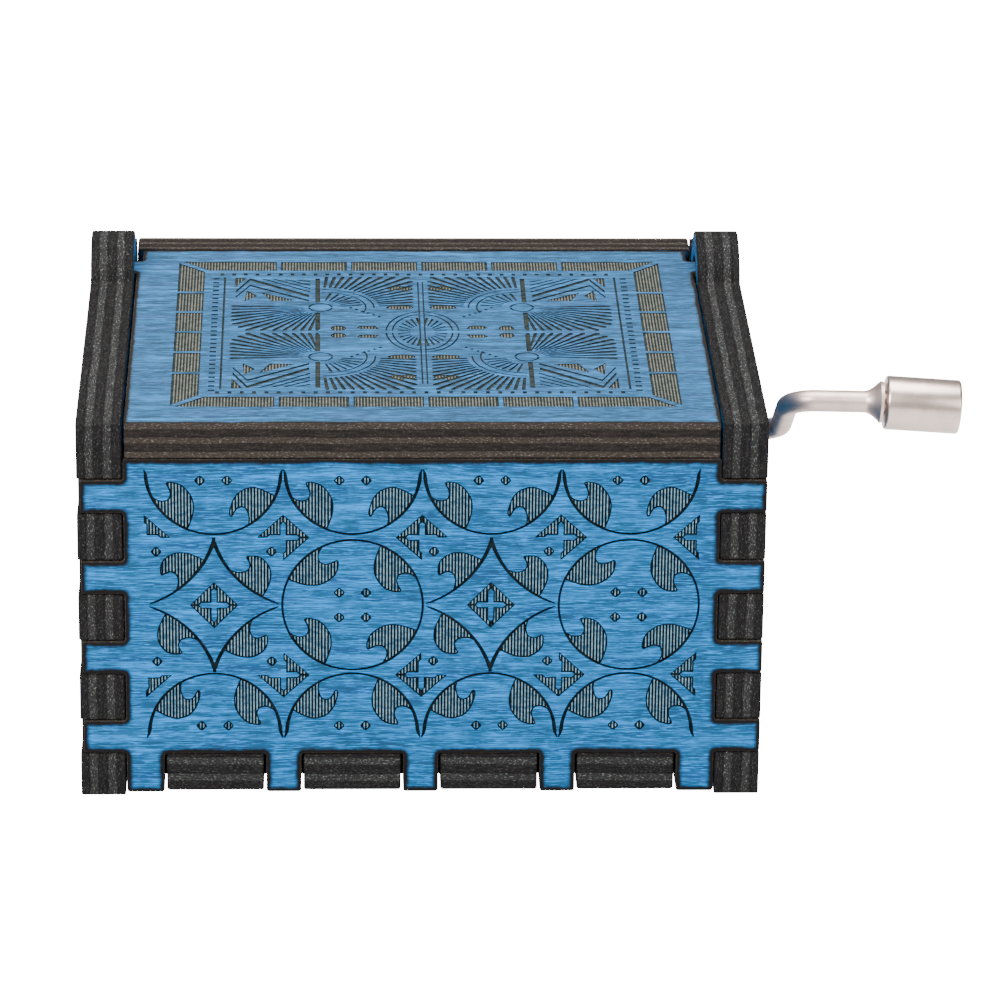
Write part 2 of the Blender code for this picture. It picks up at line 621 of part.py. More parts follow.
def bracket(name, centre, outward, brass, steel, bore):
    """An L-shaped bearing: an upright with a round top and a bore, and a foot that points outward."""
    outward = Vector(outward)
    across = Vector((-outward.y, outward.x, 0))
    turns = [math.pi * i / BRACKET_STEPS for i in range(BRACKET_STEPS + 1)]
    top = [(math.cos(turn), math.sin(turn)) for turn in turns]
    rise = centre.z - FOOT_LOW
    outline = [(POST_HALF_WIDTH, 0)]
    outline += [(POST_HALF_WIDTH * u, rise + POST_HALF_WIDTH * v) for u, v in top] + [(-POST_HALF_WIDTH, 0)]

    def upright(u, v, w):
        return Vector((centre.x, centre.y, FOOT_LOW)) + across * u + Vector((0, 0, v)) + outward * w

    post = stand(name, slab(outline, 0, POST_THICKNESS, upright), brass)
    half = POST_HALF_WIDTH
    foot = [(-half, 0), (half, 0), (half, FOOT_THICKNESS), (-half, FOOT_THICKNESS)]
    foot_solid = slab(foot, POST_THICKNESS / 2, POST_THICKNESS + FOOT_LENGTH, upright)
    modify(post, stand(f"{name}_foot", foot_solid, None), "UNION")
    drill(post, centre, outward, bore + RUNNING_CLEARANCE, 4 * POST_THICKNESS)
    fixing = upright(0, FOOT_THICKNESS, POST_THICKNESS + FOOT_LENGTH / 2)
    drill(post, fixing, (0, 0, 1), SCREW_RADIUS + RUNNING_CLEARANCE, 4 * FOOT_THICKNESS)
    seat = fixing + Vector((0, 0, SEAT_GAP / 2))
    screw(f"{name}_screw", seat, (0, 0, 1), FOOT_THICKNESS + BEDPLATE_THICKNESS, steel)
    return fixing


def comb(steel, lead, brass):
    """The tuned comb, its block, its screws and the weights under its lowest teeth."""
    front, rear = DRUM_FRONT + DRUM_MARGIN, DRUM_REAR - DRUM_MARGIN
    tooth = NOTE_PITCH - TOOTH_GAP
    outline = [(COMB_ROOT_X, front), (COMB_ROOT_X + COMB_ROOT, front)]
    for note in range(NOTES):
        low = front + NOTE_PITCH * note + TOOTH_GAP / 2
        if note:
            outline.append((COMB_ROOT_X + COMB_ROOT, low))
        outline += [(COMB_TIP_X, low + TOOTH_TAPER * tooth), (COMB_TIP_X, low + (1 - TOOTH_TAPER) * tooth)]
        if note < NOTES - 1:
            outline.append((COMB_ROOT_X + COMB_ROOT, low + tooth))
    outline += [(COMB_ROOT_X + COMB_ROOT, rear), (COMB_ROOT_X, rear)]
    plate = stand("comb", slab(outline, COMB_LOW, COMB_LOW + COMB_THICKNESS, on_xy), steel)
    block_high = COMB_LOW - RUNNING_CLEARANCE
    block_low = (COMB_ROOT_X, front, FOOT_LOW)
    block = stand("comb_block", box(block_low, (COMB_ROOT_X + COMB_ROOT, rear, block_high)), brass)
    middle = COMB_ROOT_X + COMB_ROOT / 2
    for i, y in enumerate((DRUM_CENTRE_Y - DRUM_LENGTH / 4, DRUM_CENTRE_Y + DRUM_LENGTH / 4), 1):
        top = Vector((middle, y, COMB_LOW + COMB_THICKNESS))
        hole = SCREW_RADIUS + RUNNING_CLEARANCE
        drill(plate, top, (0, 0, 1), hole, 4 * COMB_THICKNESS)
        drill(block, (middle, y, block_high), (0, 0, 1), hole, COMB_HOLE_LENGTH)
        screw(f"comb_screw_{i}", top + Vector((0, 0, SEAT_GAP / 2)), (0, 0, 1), COMB_SCREW_GRIP, steel)
    for note in range(WEIGHTED_TEETH):
        low = front + NOTE_PITCH * note + TOOTH_GAP
        deep = WEIGHT_DEPTH * (1 - WEIGHT_STEP * note)
        high_z = COMB_LOW - RUNNING_CLEARANCE
        far = COMB_TIP_X - WEIGHT_FROM_TIP
        near = far - WEIGHT_LENGTH
        solid = box((near, low, high_z - deep), (far, low + WEIGHT_WIDTH * tooth, high_z))
        stand(f"comb_weight_{note + 1}", solid, lead)


def movement_frame(brass, steel):
    """The bedplate, the four bearings that stand on it and the screws that hold it down.

    A wheel that reaches the bedplate runs in a window of it.
    """
    right = INNER_HALF_WIDTH - BEDPLATE_RIGHT_GAP
    half_depth = INNER_HALF_DEPTH - BEDPLATE_WALL_GAP
    low = (COMB_ROOT_X - BEDPLATE_PAST_COMB, -half_depth, BED_LOW)
    bed = stand("bedplate", box(low, (right, half_depth, BED_TOP)), brass)
    fixings = []
    hole = SCREW_RADIUS + RUNNING_CLEARANCE
    shaft_left = Vector((MOVEMENT_X - BRACKET_REACH, SHAFT.y, SHAFT.z))
    shaft_right = Vector((MOVEMENT_X + BRACKET_REACH, SHAFT.y, SHAFT.z))
    arbor_front = Vector((CYLINDER.x, POST_FRONT, CYLINDER.z))
    arbor_rear = Vector((CYLINDER.x, POST_REAR, CYLINDER.z))
    fixings.append(bracket("shaft_bracket_left", shaft_left, (-1, 0, 0), brass, steel, WIRE_RADIUS))
    fixings.append(bracket("shaft_bracket_right", shaft_right, (1, 0, 0), brass, steel, WIRE_RADIUS))
    fixings.append(bracket("arbor_post_front", arbor_front, (0, -1, 0), brass, steel, ARBOR_RADIUS))
    fixings.append(bracket("arbor_post_rear", arbor_rear, (0, 1, 0), brass, steel, ARBOR_RADIUS))
    for point in fixings:
        drill(bed, (point.x, point.y, BED_TOP), (0, 0, 1), hole, 4 * BEDPLATE_THICKNESS)
    wheel_centre = (CYLINDER.x, SHAFT.y, CYLINDER.z)
    wheel_room = WHEEL_PITCH_RADIUS + ADDENDUM + SEAT_GAP
    drill(bed, wheel_centre, (0, 1, 0), wheel_room, WHEEL_WIDTH + 2 * SEAT_GAP, ROUND_SIDES)
    for i, (x, y) in enumerate(base_screw_places(), 1):
        drill(bed, (x, y, BED_TOP), (0, 0, 1), hole, 4 * BEDPLATE_THICKNESS)
        rise = BASE_SCREW_HEAD_RADIUS - SCREW_RADIUS + SEAT_GAP
        seat = Vector((x, y, rise))
        grip = BED_TOP - rise
        screw(f"base_screw_{i}", seat, (0, 0, -1), grip, steel, BASE_SCREW_HEAD_RADIUS, cone=True)


def main():
    clear_scene()
    dyed = finish("dyed_plywood", (0.07, 0.24, 0.42), 0.7)
    raw = finish("plywood", (0.32, 0.22, 0.13), 0.75)
    nickel = finish("satin_nickel", (0.62, 0.58, 0.55), 0.32, 1.0)
    steel = finish("spring_steel", (0.45, 0.46, 0.48), 0.3, 1.0)
    brass = finish("brass", (0.72, 0.55, 0.25), 0.35, 1.0)
    nylon = finish("nylon", (0.85, 0.84, 0.8), 0.45)
    lead = finish("lead", (0.2, 0.2, 0.22), 0.55, 1.0)
    case(dyed, raw)
    lid(dyed)
    crank(nickel, steel, brass)
    cylinder(brass, steel, nylon)
    comb(steel, lead, brass)
    movement_frame(brass, steel)


main()
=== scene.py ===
"""Looks of a hand crank music box: engraved, blue-dyed plywood case, satin crank and brass comb movement.

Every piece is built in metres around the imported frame. Panels are drawn flat, in (along, up) coordinates
of their outer face, and stood in place by a matrix. Their outlines come from the frame's own solids.
"""

import json
import logging
import math
from collections.abc import Callable, Iterable, Sequence
from dataclasses import dataclass, field
from enum import Enum, auto

import bmesh
import bpy
from mathutils import Matrix, Vector
from mathutils.geometry import delaunay_2d_cdt


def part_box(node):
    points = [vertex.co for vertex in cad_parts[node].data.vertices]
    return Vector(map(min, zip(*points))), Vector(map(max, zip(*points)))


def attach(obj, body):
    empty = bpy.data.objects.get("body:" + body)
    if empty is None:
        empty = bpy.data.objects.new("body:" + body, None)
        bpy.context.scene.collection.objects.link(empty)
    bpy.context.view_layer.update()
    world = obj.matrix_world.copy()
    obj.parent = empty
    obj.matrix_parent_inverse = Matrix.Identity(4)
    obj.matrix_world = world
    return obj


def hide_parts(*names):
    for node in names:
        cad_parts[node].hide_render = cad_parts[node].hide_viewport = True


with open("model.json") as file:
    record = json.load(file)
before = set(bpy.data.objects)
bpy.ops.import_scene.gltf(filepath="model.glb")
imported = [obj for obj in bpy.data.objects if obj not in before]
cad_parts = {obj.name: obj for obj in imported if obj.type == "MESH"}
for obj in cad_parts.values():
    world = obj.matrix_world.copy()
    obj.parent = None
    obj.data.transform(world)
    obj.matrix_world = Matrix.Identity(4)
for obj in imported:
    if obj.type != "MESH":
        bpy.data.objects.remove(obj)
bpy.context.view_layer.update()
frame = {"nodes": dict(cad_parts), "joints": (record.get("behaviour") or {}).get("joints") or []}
LOG = logging.getLogger("music_box")
MM = 0.001
Pair = tuple[float, float]
Colour = tuple[float, float, float]
Loop = list[Vector]
Material, Node, NodeTree, Socket = (bpy.types.Material, bpy.types.Node, bpy.types.NodeTree,
                                    bpy.types.NodeSocket)
SIGNS = (-1, 1)
FLAT_TURN = math.radians(30)  # a corner that turns less is part of a faceted arc
SHARP_TURN = math.radians(35)  # an edge that turns more stays sharp


# ---------------------------------------------------------------- plane geometry

def signed_area(loop: Sequence[Vector]) -> float:
    """Area of a loop, positive if it runs anticlockwise."""
    return sum(a.x * b.y - b.x * a.y for a, b in zip(loop, [*loop[1:], loop[0]])) / 2


def anticlockwise(loop: Sequence[Vector]) -> Loop:
    """The loop, turned round if it runs clockwise."""
    return list(loop) if signed_area(loop) > 0 else list(reversed(loop))


def offset_loop(loop: Sequence[Vector], inward: float) -> Loop:
    """Moves each corner of a loop towards the material on its left.

    Args:
        loop: Corners, with the material to the left of the direction of travel.
        inward: How far each edge moves.

    Returns:
        As many corners as the loop has, mitred.
    """
    moved = []
    for i, corner in enumerate(loop):
        before = (corner - loop[i - 1]).normalized()
        after = (loop[(i + 1) % len(loop)] - corner).normalized()
        first, second = Vector((-before.y, before.x)), Vector((-after.y, after.x))
        moved.append(corner + (first + second) * inward / max(1 + first.dot(second), 0.4))
    return moved


def eased(loop: Sequence[Vector], radius: float, grow: float, steps: int = 4) -> Loop:
    """Rounds each corner of a loop. Shallow corners, as on a faceted arc, become one smooth curve.

    Args:
        loop: Sharp corners with the material on their left.
        radius: Radius of a corner where grow is 0.
        grow: Added to the radius of hollow corners and taken from that of proud ones.
        steps: Segments at each corner, so that two eased loops of one outline can be bridged.

    Returns:
        steps + 1 points for each corner.
    """
    points = []
    for i, corner in enumerate(loop):
        back, ahead = loop[i - 1] - corner, loop[(i + 1) % len(loop)] - corner
        turn = math.pi - back.angle(ahead)
        proud = back.x * ahead.y - back.y * ahead.x < 0
        wanted = max(radius - grow if proud else radius + grow, 0.02 * MM) * math.tan(turn / 2)
        room = min(back.length, ahead.length) / 2
        reach = room if turn < FLAT_TURN else min(wanted, 0.9 * room)
        start, end = corner + back.normalized() * reach, corner + ahead.normalized() * reach
        bend = reach / math.tan(turn / 2)
        centre = corner + (back.normalized() + ahead.normalized()).normalized() * math.hypot(bend, reach)
        first = start - centre
        sweep = first.angle_signed(end - centre)
        for k in range(steps + 1):
            points.append(centre + Matrix.Rotation(-sweep * k / steps, 2) @ first)
    return points


def heading(degrees: float) -> Vector:
    """The unit vector at an angle from the first axis."""
    angle = math.radians(degrees)
    return Vector((math.cos(angle), math.sin(angle)))


def arc(centre: Vector, radius: float, start: float, end: float, step: float) -> Loop:
    """Points of an arc between two angles, at most step apart. All three are in degrees."""
    count = max(2, math.ceil(abs(end - start) / step))
    return [centre + radius * heading(start + (end - start) * i / count) for i in range(count + 1)]


def rectangle(low: Vector, width: float, height: float) -> Loop:
    """The corners of an upright rectangle."""
    return [low + Vector(corner) for corner in ((0, 0), (width, 0), (width, height), (0, height))]


def oval(centre: Vector, across: float, up: float, sides: int) -> Loop:
    """The corners of an oval with two half widths."""
    return [centre + Vector((across * math.cos(turn), up * math.sin(turn)))
            for turn in (math.tau * i / sides for i in range(sides))]


def smooth_run(points: Sequence[Vector], steps: int = 4) -> Loop:
    """A curve through points that are not on a closed loop (Catmull-Rom)."""
    run = []
    for i in range(len(points) - 1):
        p0, p1 = points[max(i - 1, 0)], points[i]
        p2, p3 = points[i + 1], points[min(i + 2, len(points) - 1)]
        for k in range(steps):
            t = k / steps
            run.append(0.5 * (2 * p1 + (p2 - p0) * t + (2 * p0 - 5 * p1 + 4 * p2 - p3) * t * t
                              + (3 * p1 - p0 - 3 * p2 + p3) * t ** 3))
    return [*run, points[-1]]


def crossings(loop: Sequence[Vector], x: float) -> list[float]:
    """Sorted heights at which an upright line crosses a loop."""
    heights = []
    for a, b in zip(loop, [*loop[1:], loop[0]]):
        if (a.x <= x) != (b.x <= x):
            heights.append(a.y + (b.y - a.y) * (x - a.x) / (b.x - a.x))
    return sorted(heights)


# ---------------------------------------------------------------- engraving

class Cut(Enum):
    """What the laser does inside an outline."""

    GROOVE = auto()
    HATCH = auto()
    RIDGED = auto()
    KEPT = auto()
    BARE = auto()


@dataclass
class Mark:
    """One outline of an engraving, in millimetres on the panel's face."""

    cut: Cut
    loop: Loop


@dataclass
class Engraver:
    """Draws marks, in millimetres. Hatched marks keep a dark rim and upright ridges inside it."""

    rim: float = 0.13
    marks: list[Mark] = field(default_factory=list)

    def groove(self, loop: Sequence[Vector]) -> None:
        """Burns the whole outline down."""
        self.marks.append(Mark(Cut.GROOVE, anticlockwise(loop)))

    def hatch(self, loop: Sequence[Vector]) -> None:
        """Burns the outline down and leaves ridges in it."""
        outline = anticlockwise(loop)
        self.marks.append(Mark(Cut.HATCH, outline))
        self.marks.append(Mark(Cut.RIDGED, offset_loop(outline, self.rim)))

    def keep(self, loop: Sequence[Vector]) -> None:
        """Leaves the outline untouched, with a dark rim round it."""
        outline = anticlockwise(loop)
        self.marks.append(Mark(Cut.KEPT, outline))
        self.marks.append(Mark(Cut.BARE, offset_loop(outline, -self.rim)))

    def band(self, path: Sequence[Vector], widths: Callable[[float], float]) -> None:
        """A line along path. widths gives its width at a share of the way along."""
        left, right = [], []
        for i, point in enumerate(path):
            along = path[min(i + 1, len(path) - 1)] - path[max(i - 1, 0)]
            side = Vector((-along.y, along.x)).normalized() * widths(i / (len(path) - 1)) / 2
            left.append(point + side)
            right.append(point - side)
        self.groove(left + right[::-1])

    def dot(self, centre: Vector, radius: float = 0.5, squareness: float = 0.1, sides: int = 16) -> None:
        """A small mark, round with a hint of four corners."""
        turns = [math.tau * i / sides for i in range(sides)]
        self.hatch([centre + radius * (1 - squareness + squareness * math.cos(4 * a))
                    * Vector((math.cos(a), math.sin(a))) for a in turns])


@dataclass
class Scrollwork:
    """The repeating ornament of the upright panels. Lengths are millimetres on the panel's face."""

    columns: Sequence[str]
    pitch: float = 12.9
    bowl_centre: float = 32.9
    bowl_radius: float = 6.25
    foot_centre: float = 6.4
    foot_radius: float = 6.15
    middle: float = 19.5
    ring_radius: float = 6.55
    star_radius: float = 9.6
    star_offset: float = 9.2
    star_scale: float = 0.92
    upper_diamond: float = 26.3
    lower_diamond: float = 12.4
    dot_rows: Pair = (32.0, 7.2)
    dot_spread: float = 1.25
    line: float = 0.2
    heavy: float = 0.42
    cross_gap: float = 0.24
    cusp_gap: float = 0.06
    cusp_rise: float = 0.85
    cusp_bow: float = 0.05
    star_span: Pair = (25.8, 30.6)
    star_leaf: float = 196.0
    star_diamond: tuple[Pair, Pair] = ((2.25, 2.33), (1.4, 1.65))
    corner_diamond: tuple[Pair, Pair] = ((2.45, 2.3), (1.5, 1.55))
    corner_dot: Pair = (1.1, 1.4)
    ring_leaves: tuple[float, ...] = (67, 157, 247, 337)
    bowl_leaves: tuple[tuple[float, bool], ...] = ((247.6, False), (337, True))
    foot_leaves: tuple[tuple[float, bool], ...] = ((67, False), (157, True))
    full_leaf: Sequence[Pair] = (
        (0, 0), (0.02, 0.93), (0.14, 1.83), (0.45, 2.59), (0.88, 3.12), (1.55, 3.46), (2.24, 3.5), (2.85, 3.22),
        (3.45, 2.7), (3.6, 2.36), (3.33, 2.26), (3.03, 2.14), (2.84, 1.9), (2.83, 1.5), (3.06, 1.09),
        (3.42, 0.72), (3.88, 0.37), (4.5, 0))
    slim_leaf: Sequence[Pair] = (
        (0, 0), (-0.14, 1.13), (-0.04, 2.24), (0.61, 3.05), (1.2, 3.27), (1.8, 3.24), (2.55, 2.92), (3.2, 2.45),
        (3.52, 2.0), (3.44, 1.86), (3.0, 2.08), (2.56, 2.2), (2.27, 2.0), (2.3, 1.6), (2.68, 1.05),
        (3.08, 0.6), (3.6, 0.12), (3.8, 0))

    def leaf(self, pen: Engraver, centre: Vector, radius: float, angle: float, scale: float = 1.0,
             slim: bool = False) -> None:
        """A hatched comma leaf on the hollow side of an arc.

        Args:
            pen: Receives the marks.
            centre: Centre of the arc that carries the leaf.
            radius: Radius of that arc.
            angle: Where the blunt end stands, in degrees. The tail runs clockwise from there.
            scale: Size of the leaf.
            slim: Draws the leaf with the thinner neck.
        """
        outline = self.slim_leaf if slim else self.full_leaf
        out = heading(angle)
        clockwise = Vector((out.y, -out.x))
        foot = centre + out * radius

        def place(t: float, depth: float) -> Vector:
            """A point of the leaf, t along the arc's tangent and depth inside the arc."""
            rise = depth + radius - math.sqrt(radius * radius - t * t)
            return foot + clockwise * t - out * rise

        tip = [place(t * scale, d * scale) for t, d in outline]
        tail = outline[-1][0] * scale
        base = [place(tail * (1 - i / 8), 0) for i in range(1, 8)]
        pen.hatch(smooth_run(tip) + base)

    def quadrant(self, pen: Engraver, centre: Vector, across: float, up: float,
                 diamond: tuple[Pair, Pair]) -> None:
        """A quarter of a hatched diamond that a plain pointed cross divides.

        Args:
            pen: Receives the mark.
            centre: Centre of the diamond.
            across: The side that the quarter lies on, -1 or 1.
            up: -1 for a lower quarter and 1 for an upper one.
            diamond: Half widths of the diamond and reaches of the cross's arms.
        """
        (a, b), (p, q) = diamond
        gap = self.cross_gap
        corners = [(gap, gap), (p - gap, gap), (p, 0), (a, 0), (0, b), (0, q), (gap, q - gap)]
        pen.hatch([centre + Vector((across * x, up * y)) for x, y in corners])

    def taper(self, share: float) -> float:
        """Width of a line that is heavy towards both ends and runs out to a point there."""
        end = abs(2 * share - 1)
        width = self.line + (self.heavy - self.line) * end ** 3
        return width * min(1.0, 0.25 + (1 - end) / 0.1)

    def star_taper(self, share: float) -> float:
        """Width of a star's line, which grows towards its second end."""
        width = self.line + (self.heavy - self.line) * share ** 2
        return width * min(1.0, 0.3 + (1 - share) / 0.08, 0.3 + share / 0.06)

    def cusped(self, run: list[Vector], x: float, up: float) -> list[Vector]:
        """An arc about x whose ends lean out to meet those of the arcs beside it."""
        for end in (0, -1):
            last = run[end]
            side = math.copysign(self.pitch / 2 - self.cusp_gap, last.x - x)
            tip = Vector((x + side, last.y + up * self.cusp_rise))
            middle = last.lerp(tip, 0.5) + Vector((-math.copysign(self.cusp_bow, side), 0))
            extra = [middle, tip]
            run = run + extra if end else extra[::-1] + run
        return run

    def star(self, pen: Engraver, centre: Vector) -> None:
        """Four hollow curves that meet in points, each with a leaf, round a diamond with a cross."""
        level, upright = self.star_span
        for quarter in range(4):
            middle = 45 + 90 * quarter
            hub = centre + heading(middle) * self.star_offset * math.sqrt(2)
            sense = -1 if quarter % 2 else 1
            run = arc(hub, self.star_radius, middle + 180 + sense * level, middle + 180 - sense * upright, 3)
            pen.band(run, self.star_taper)
            self.leaf(pen, hub, self.star_radius, middle + self.star_leaf, self.star_scale)
        for across in SIGNS:
            for up in SIGNS:
                self.quadrant(pen, centre, across, up, self.star_diamond)

    def ring(self, pen: Engraver, centre: Vector) -> None:
        """A ring with four leaves and four dots."""
        for start in (0, 180):
            pen.band(arc(centre, self.ring_radius, start, start + 180, 4), lambda share: self.line)
        for angle in self.ring_leaves:
            self.leaf(pen, centre, self.ring_radius, angle)
        for across in SIGNS:
            for up in SIGNS:
                pen.dot(centre + Vector((across, up)) * self.dot_spread)

    def corner_diamonds(self, pen: Engraver, x: float, left: str | None, right: str | None) -> None:
        """The diamonds between two columns. A quarter that faces a star gives way to a dot."""
        for height, inward in ((self.upper_diamond, -1), (self.lower_diamond, 1)):
            centre = Vector((x, height))
            for across, kind in ((-1, left), (1, right)):
                if kind is None:
                    continue
                self.quadrant(pen, centre, across, -inward, self.corner_diamond)
                if kind == "ring":
                    self.quadrant(pen, centre, across, inward, self.corner_diamond)
                else:
                    pen.dot(centre + Vector((self.corner_dot[0] * across, self.corner_dot[1] * inward)))

    def draw(self) -> list[Mark]:
        """All the marks of one panel."""
        pen = Engraver()
        count = len(self.columns)
        for i, kind in enumerate(self.columns):
            x = (i - (count - 1) / 2) * self.pitch
            bowl, foot = Vector((x, self.bowl_centre)), Vector((x, self.foot_centre))
            pen.band(self.cusped(arc(bowl, self.bowl_radius, 186, 354, 4), x, 1.0), self.taper)
            pen.band(self.cusped(arc(foot, self.foot_radius, 4, 176, 4), x, -1.0), self.taper)
            for angle, slim in self.bowl_leaves:
                self.leaf(pen, bowl, self.bowl_radius, angle, slim=slim)
            for angle, slim in self.foot_leaves:
                self.leaf(pen, foot, self.foot_radius, angle, slim=slim)
            for height in self.dot_rows:
                for across in SIGNS:
                    pen.dot(Vector((x + across * self.dot_spread, height)))
            getattr(self, kind)(pen, Vector((x, self.middle)))
        for i in range(count + 1):
            left = self.columns[i - 1] if i else None
            right = self.columns[i] if i < count else None
            self.corner_diamonds(pen, (i - count / 2) * self.pitch, left, right)
        return pen.marks


@dataclass
class Fanwork:
    """The engraving of the lid: a mitred border of hatched blocks round mirrored fans.

    Lengths are millimetres from its centre, and what is mirrored is given in the upper right quarter.
    """

    centre: Vector = field(default_factory=lambda: Vector((0.4, -1.6)))
    half_width: float = 23.8
    half_depth: float = 20.2
    border: float = 2.6
    block_gap: float = 0.42
    long_pitch: float = 6.96
    short_pitch: float = 5.6
    beads_in: float = 3.75
    bead_pitch: float = 1.15
    bead: Pair = (0.36, 0.6)
    line_in: float = 4.6
    line: float = 0.2
    hub: Vector = field(default_factory=lambda: Vector((9.8, 6.9)))
    field_half: Pair = (18.3, 15.6)
    sunburst: tuple[float, ...] = (94, 5.1, 5.7, 12.5, 1.35)
    shell: tuple[float, ...] = (-87, 6.4, 1.7, 9.6, 1.75)
    short_rays: tuple[float, ...] = (104, 11, 2.0, 4.0, 2.4)
    hub_arcs: Sequence[tuple[float, ...]] = (
        (5.2, 92, 182, 0.16), (4.4, 92, 200, 0.16), (1.1, 0, 175, 0.2), (1.1, 185, 355, 0.2))
    petals: Pair = (6.9, 12.4)
    grooves: Sequence[Sequence[Pair]] = (
        ((0.16, 0.0), (0.3, 0.0), (0.3, 14.2), (0.16, 14.2)),
        ((9.85, 0.7), (10.3, 0.7), (10.3, 5.4), (9.85, 5.4)),
        ((9.85, 8.3), (10.3, 8.3), (10.3, 15.2), (9.85, 15.2)))
    blots: Sequence[Sequence[Pair]] = (
        ((4.2, 0.8), (5.9, 0.8), (6.3, 1.25), (5.9, 1.7), (4.6, 1.7)),
        ((18.2, 12.6), (18.2, 15.4), (17.1, 15.4)),
        ((16.0, 10.2), (17.2, 8.6), (17.0, 11.8)),
        ((12.2, 8.9), (14.6, 8.7), (15.6, 11.2)))

    def blocks(self, pen: Engraver) -> None:
        """The border. Its first and last blocks are mitred."""
        for turn, (length, reach, pitch) in enumerate(2 * (
                (self.half_width, self.half_depth, self.long_pitch),
                (self.half_depth, self.half_width, self.short_pitch))):
            spin = Matrix.Rotation(turn * math.pi / 2, 2)
            joints = [-length, *(pitch * i for i in range(-2, 3)), length]
            gap, border = self.block_gap, self.border
            for i, (low, high) in enumerate(zip(joints, joints[1:])):
                first, last = i == 0, i == len(joints) - 2
                near, far = low + (gap if first else gap / 2), high - (gap if last else gap / 2)
                corners = [(near, -reach), (far, -reach), (far - (border if last else 0), border - reach),
                           (near + (border if first else 0), border - reach)]
                pen.hatch([self.centre + spin @ Vector(corner) for corner in corners])

    def beads(self, pen: Engraver) -> None:
        """A row of small marks inside each side of the border and a fine line along two of them."""
        half = self.half_width - self.beads_in, self.half_depth - self.beads_in
        thin, wide = self.bead
        for side in SIGNS:
            for i in range(int(2 * half[1] / self.bead_pitch)):
                y = -half[1] + self.bead_pitch * (i + 0.5)
                low = self.centre + Vector((side * half[0] - wide / 2, y - thin / 2))
                pen.groove(rectangle(low, wide, thin))
            for i in range(int(2 * half[0] / self.bead_pitch)):
                x = -half[0] + self.bead_pitch * (i + 0.5)
                low = self.centre + Vector((x - thin / 2, side * half[1] - wide / 2))
                pen.groove(rectangle(low, thin, wide))
            x = side * (self.half_width - self.line_in)
            ends = [self.centre + Vector((x, up * self.field_half[1])) for up in SIGNS]
            pen.band(ends, lambda share: self.line)

    def mirrored(self, mark: Callable[[Loop], None], corners: Iterable[Sequence[float]]) -> None:
        """One outline, marked in the four quarters of the field."""
        points = [tuple(corner) for corner in corners]
        for across in SIGNS:
            for up in SIGNS:
                mark([self.centre + Vector((across * x, up * y)) for x, y in points])

    def ray(self, angle: float, near: float, far: float, spread: float) -> Loop:
        """A ray of a fan about the hub, which widens outwards and ends inside the field.

        Args:
            angle: Its direction in degrees.
            near: Distance from the hub to its start.
            far: Distance from the hub to its end, where nothing stops it sooner.
            spread: Half its opening in degrees.

        Returns:
            Its corners, or none where the field leaves no room for it.
        """
        out = heading(angle)
        for share, low, high in ((out.x, 0.9 - self.hub.x, self.field_half[0] - self.hub.x),
                                 (out.y, 0.5 - self.hub.y, self.field_half[1] - self.hub.y)):
            if abs(share) > 1e-6:
                far = min(far, (high if share > 0 else low) / share)
        if far < near + 0.5:
            return []
        side = Vector((-out.y, out.x)) * math.tan(math.radians(spread))
        return [self.hub + out * near - side * near, self.hub + out * far - side * far * 0.9,
                self.hub + out * (far + 0.25), self.hub + out * far + side * far * 0.9,
                self.hub + out * near + side * near]

    def fan(self, pen: Engraver, count: int, shape: Sequence[float], stagger: float = 0.0) -> None:
        """Rays of one kind. shape gives the first angle, the step, both ends and the spread."""
        first, step, near, far, spread = shape
        for i in range(count):
            ray = self.ray(first + step * i, near + stagger * (i % 2), far, spread)
            if ray:
                self.mirrored(pen.groove, ray)

    def fans(self, pen: Engraver) -> None:
        """The four hubs: a sunburst towards the middle and a shell towards the border's sides."""
        self.fan(pen, 17, self.sunburst)
        self.fan(pen, 15, self.shell, 0.5)
        for radius, start, end, width in self.hub_arcs:
            path = arc(self.hub, radius, start, end, 6)
            sides = [(p - self.hub).normalized() * width / 2 for p in path]
            edge = [p + side for p, side in zip(path, sides)]
            self.mirrored(pen.groove, edge + [p - side for p, side in zip(path, sides)][::-1])
        self.fan(pen, 7, self.short_rays)

    def middle(self, pen: Engraver) -> None:
        """The stem, its petals, the oval round the centre and the dotted lines that lead to it."""
        self.mirrored(pen.groove, self.grooves[0])
        for height in self.petals:
            self.mirrored(pen.hatch, oval(Vector((2.1, height)), -1.35, 0.62, 12))
        for across, up in ((3.5, 5.6), (2.9, 4.9)):
            path = [Vector((across * math.cos(a), up * math.sin(a)))
                    for a in (math.radians(4 + 80 * i / 12) for i in range(13))]
            half = Vector((0.07, 0.07))
            self.mirrored(pen.groove, [p + half for p in path] + [p - half for p in reversed(path)])
        for i in range(6):
            a = math.radians(8 + 14 * i)
            near, far = (Vector((x * math.cos(a), y * math.sin(a))) for x, y in ((1.2, 1.8), (2.4, 4.0)))
            side = Vector((-math.sin(a), math.cos(a))) * 0.14
            self.mirrored(pen.groove, [near - side * 0.5, far - side, far + side, near + side * 0.5])
        for i in range(6):
            x, y, half = 4.1 + 0.55 * i, 4.3 + 0.5 * i, 0.22
            self.mirrored(pen.groove, [(x - half, y), (x, y - half), (x + half, y), (x, y + half)])
        self.mirrored(pen.hatch, self.blots[0])
        self.mirrored(pen.hatch, oval(Vector((8.1, 1.0)), 0.75, 0.75, 10))

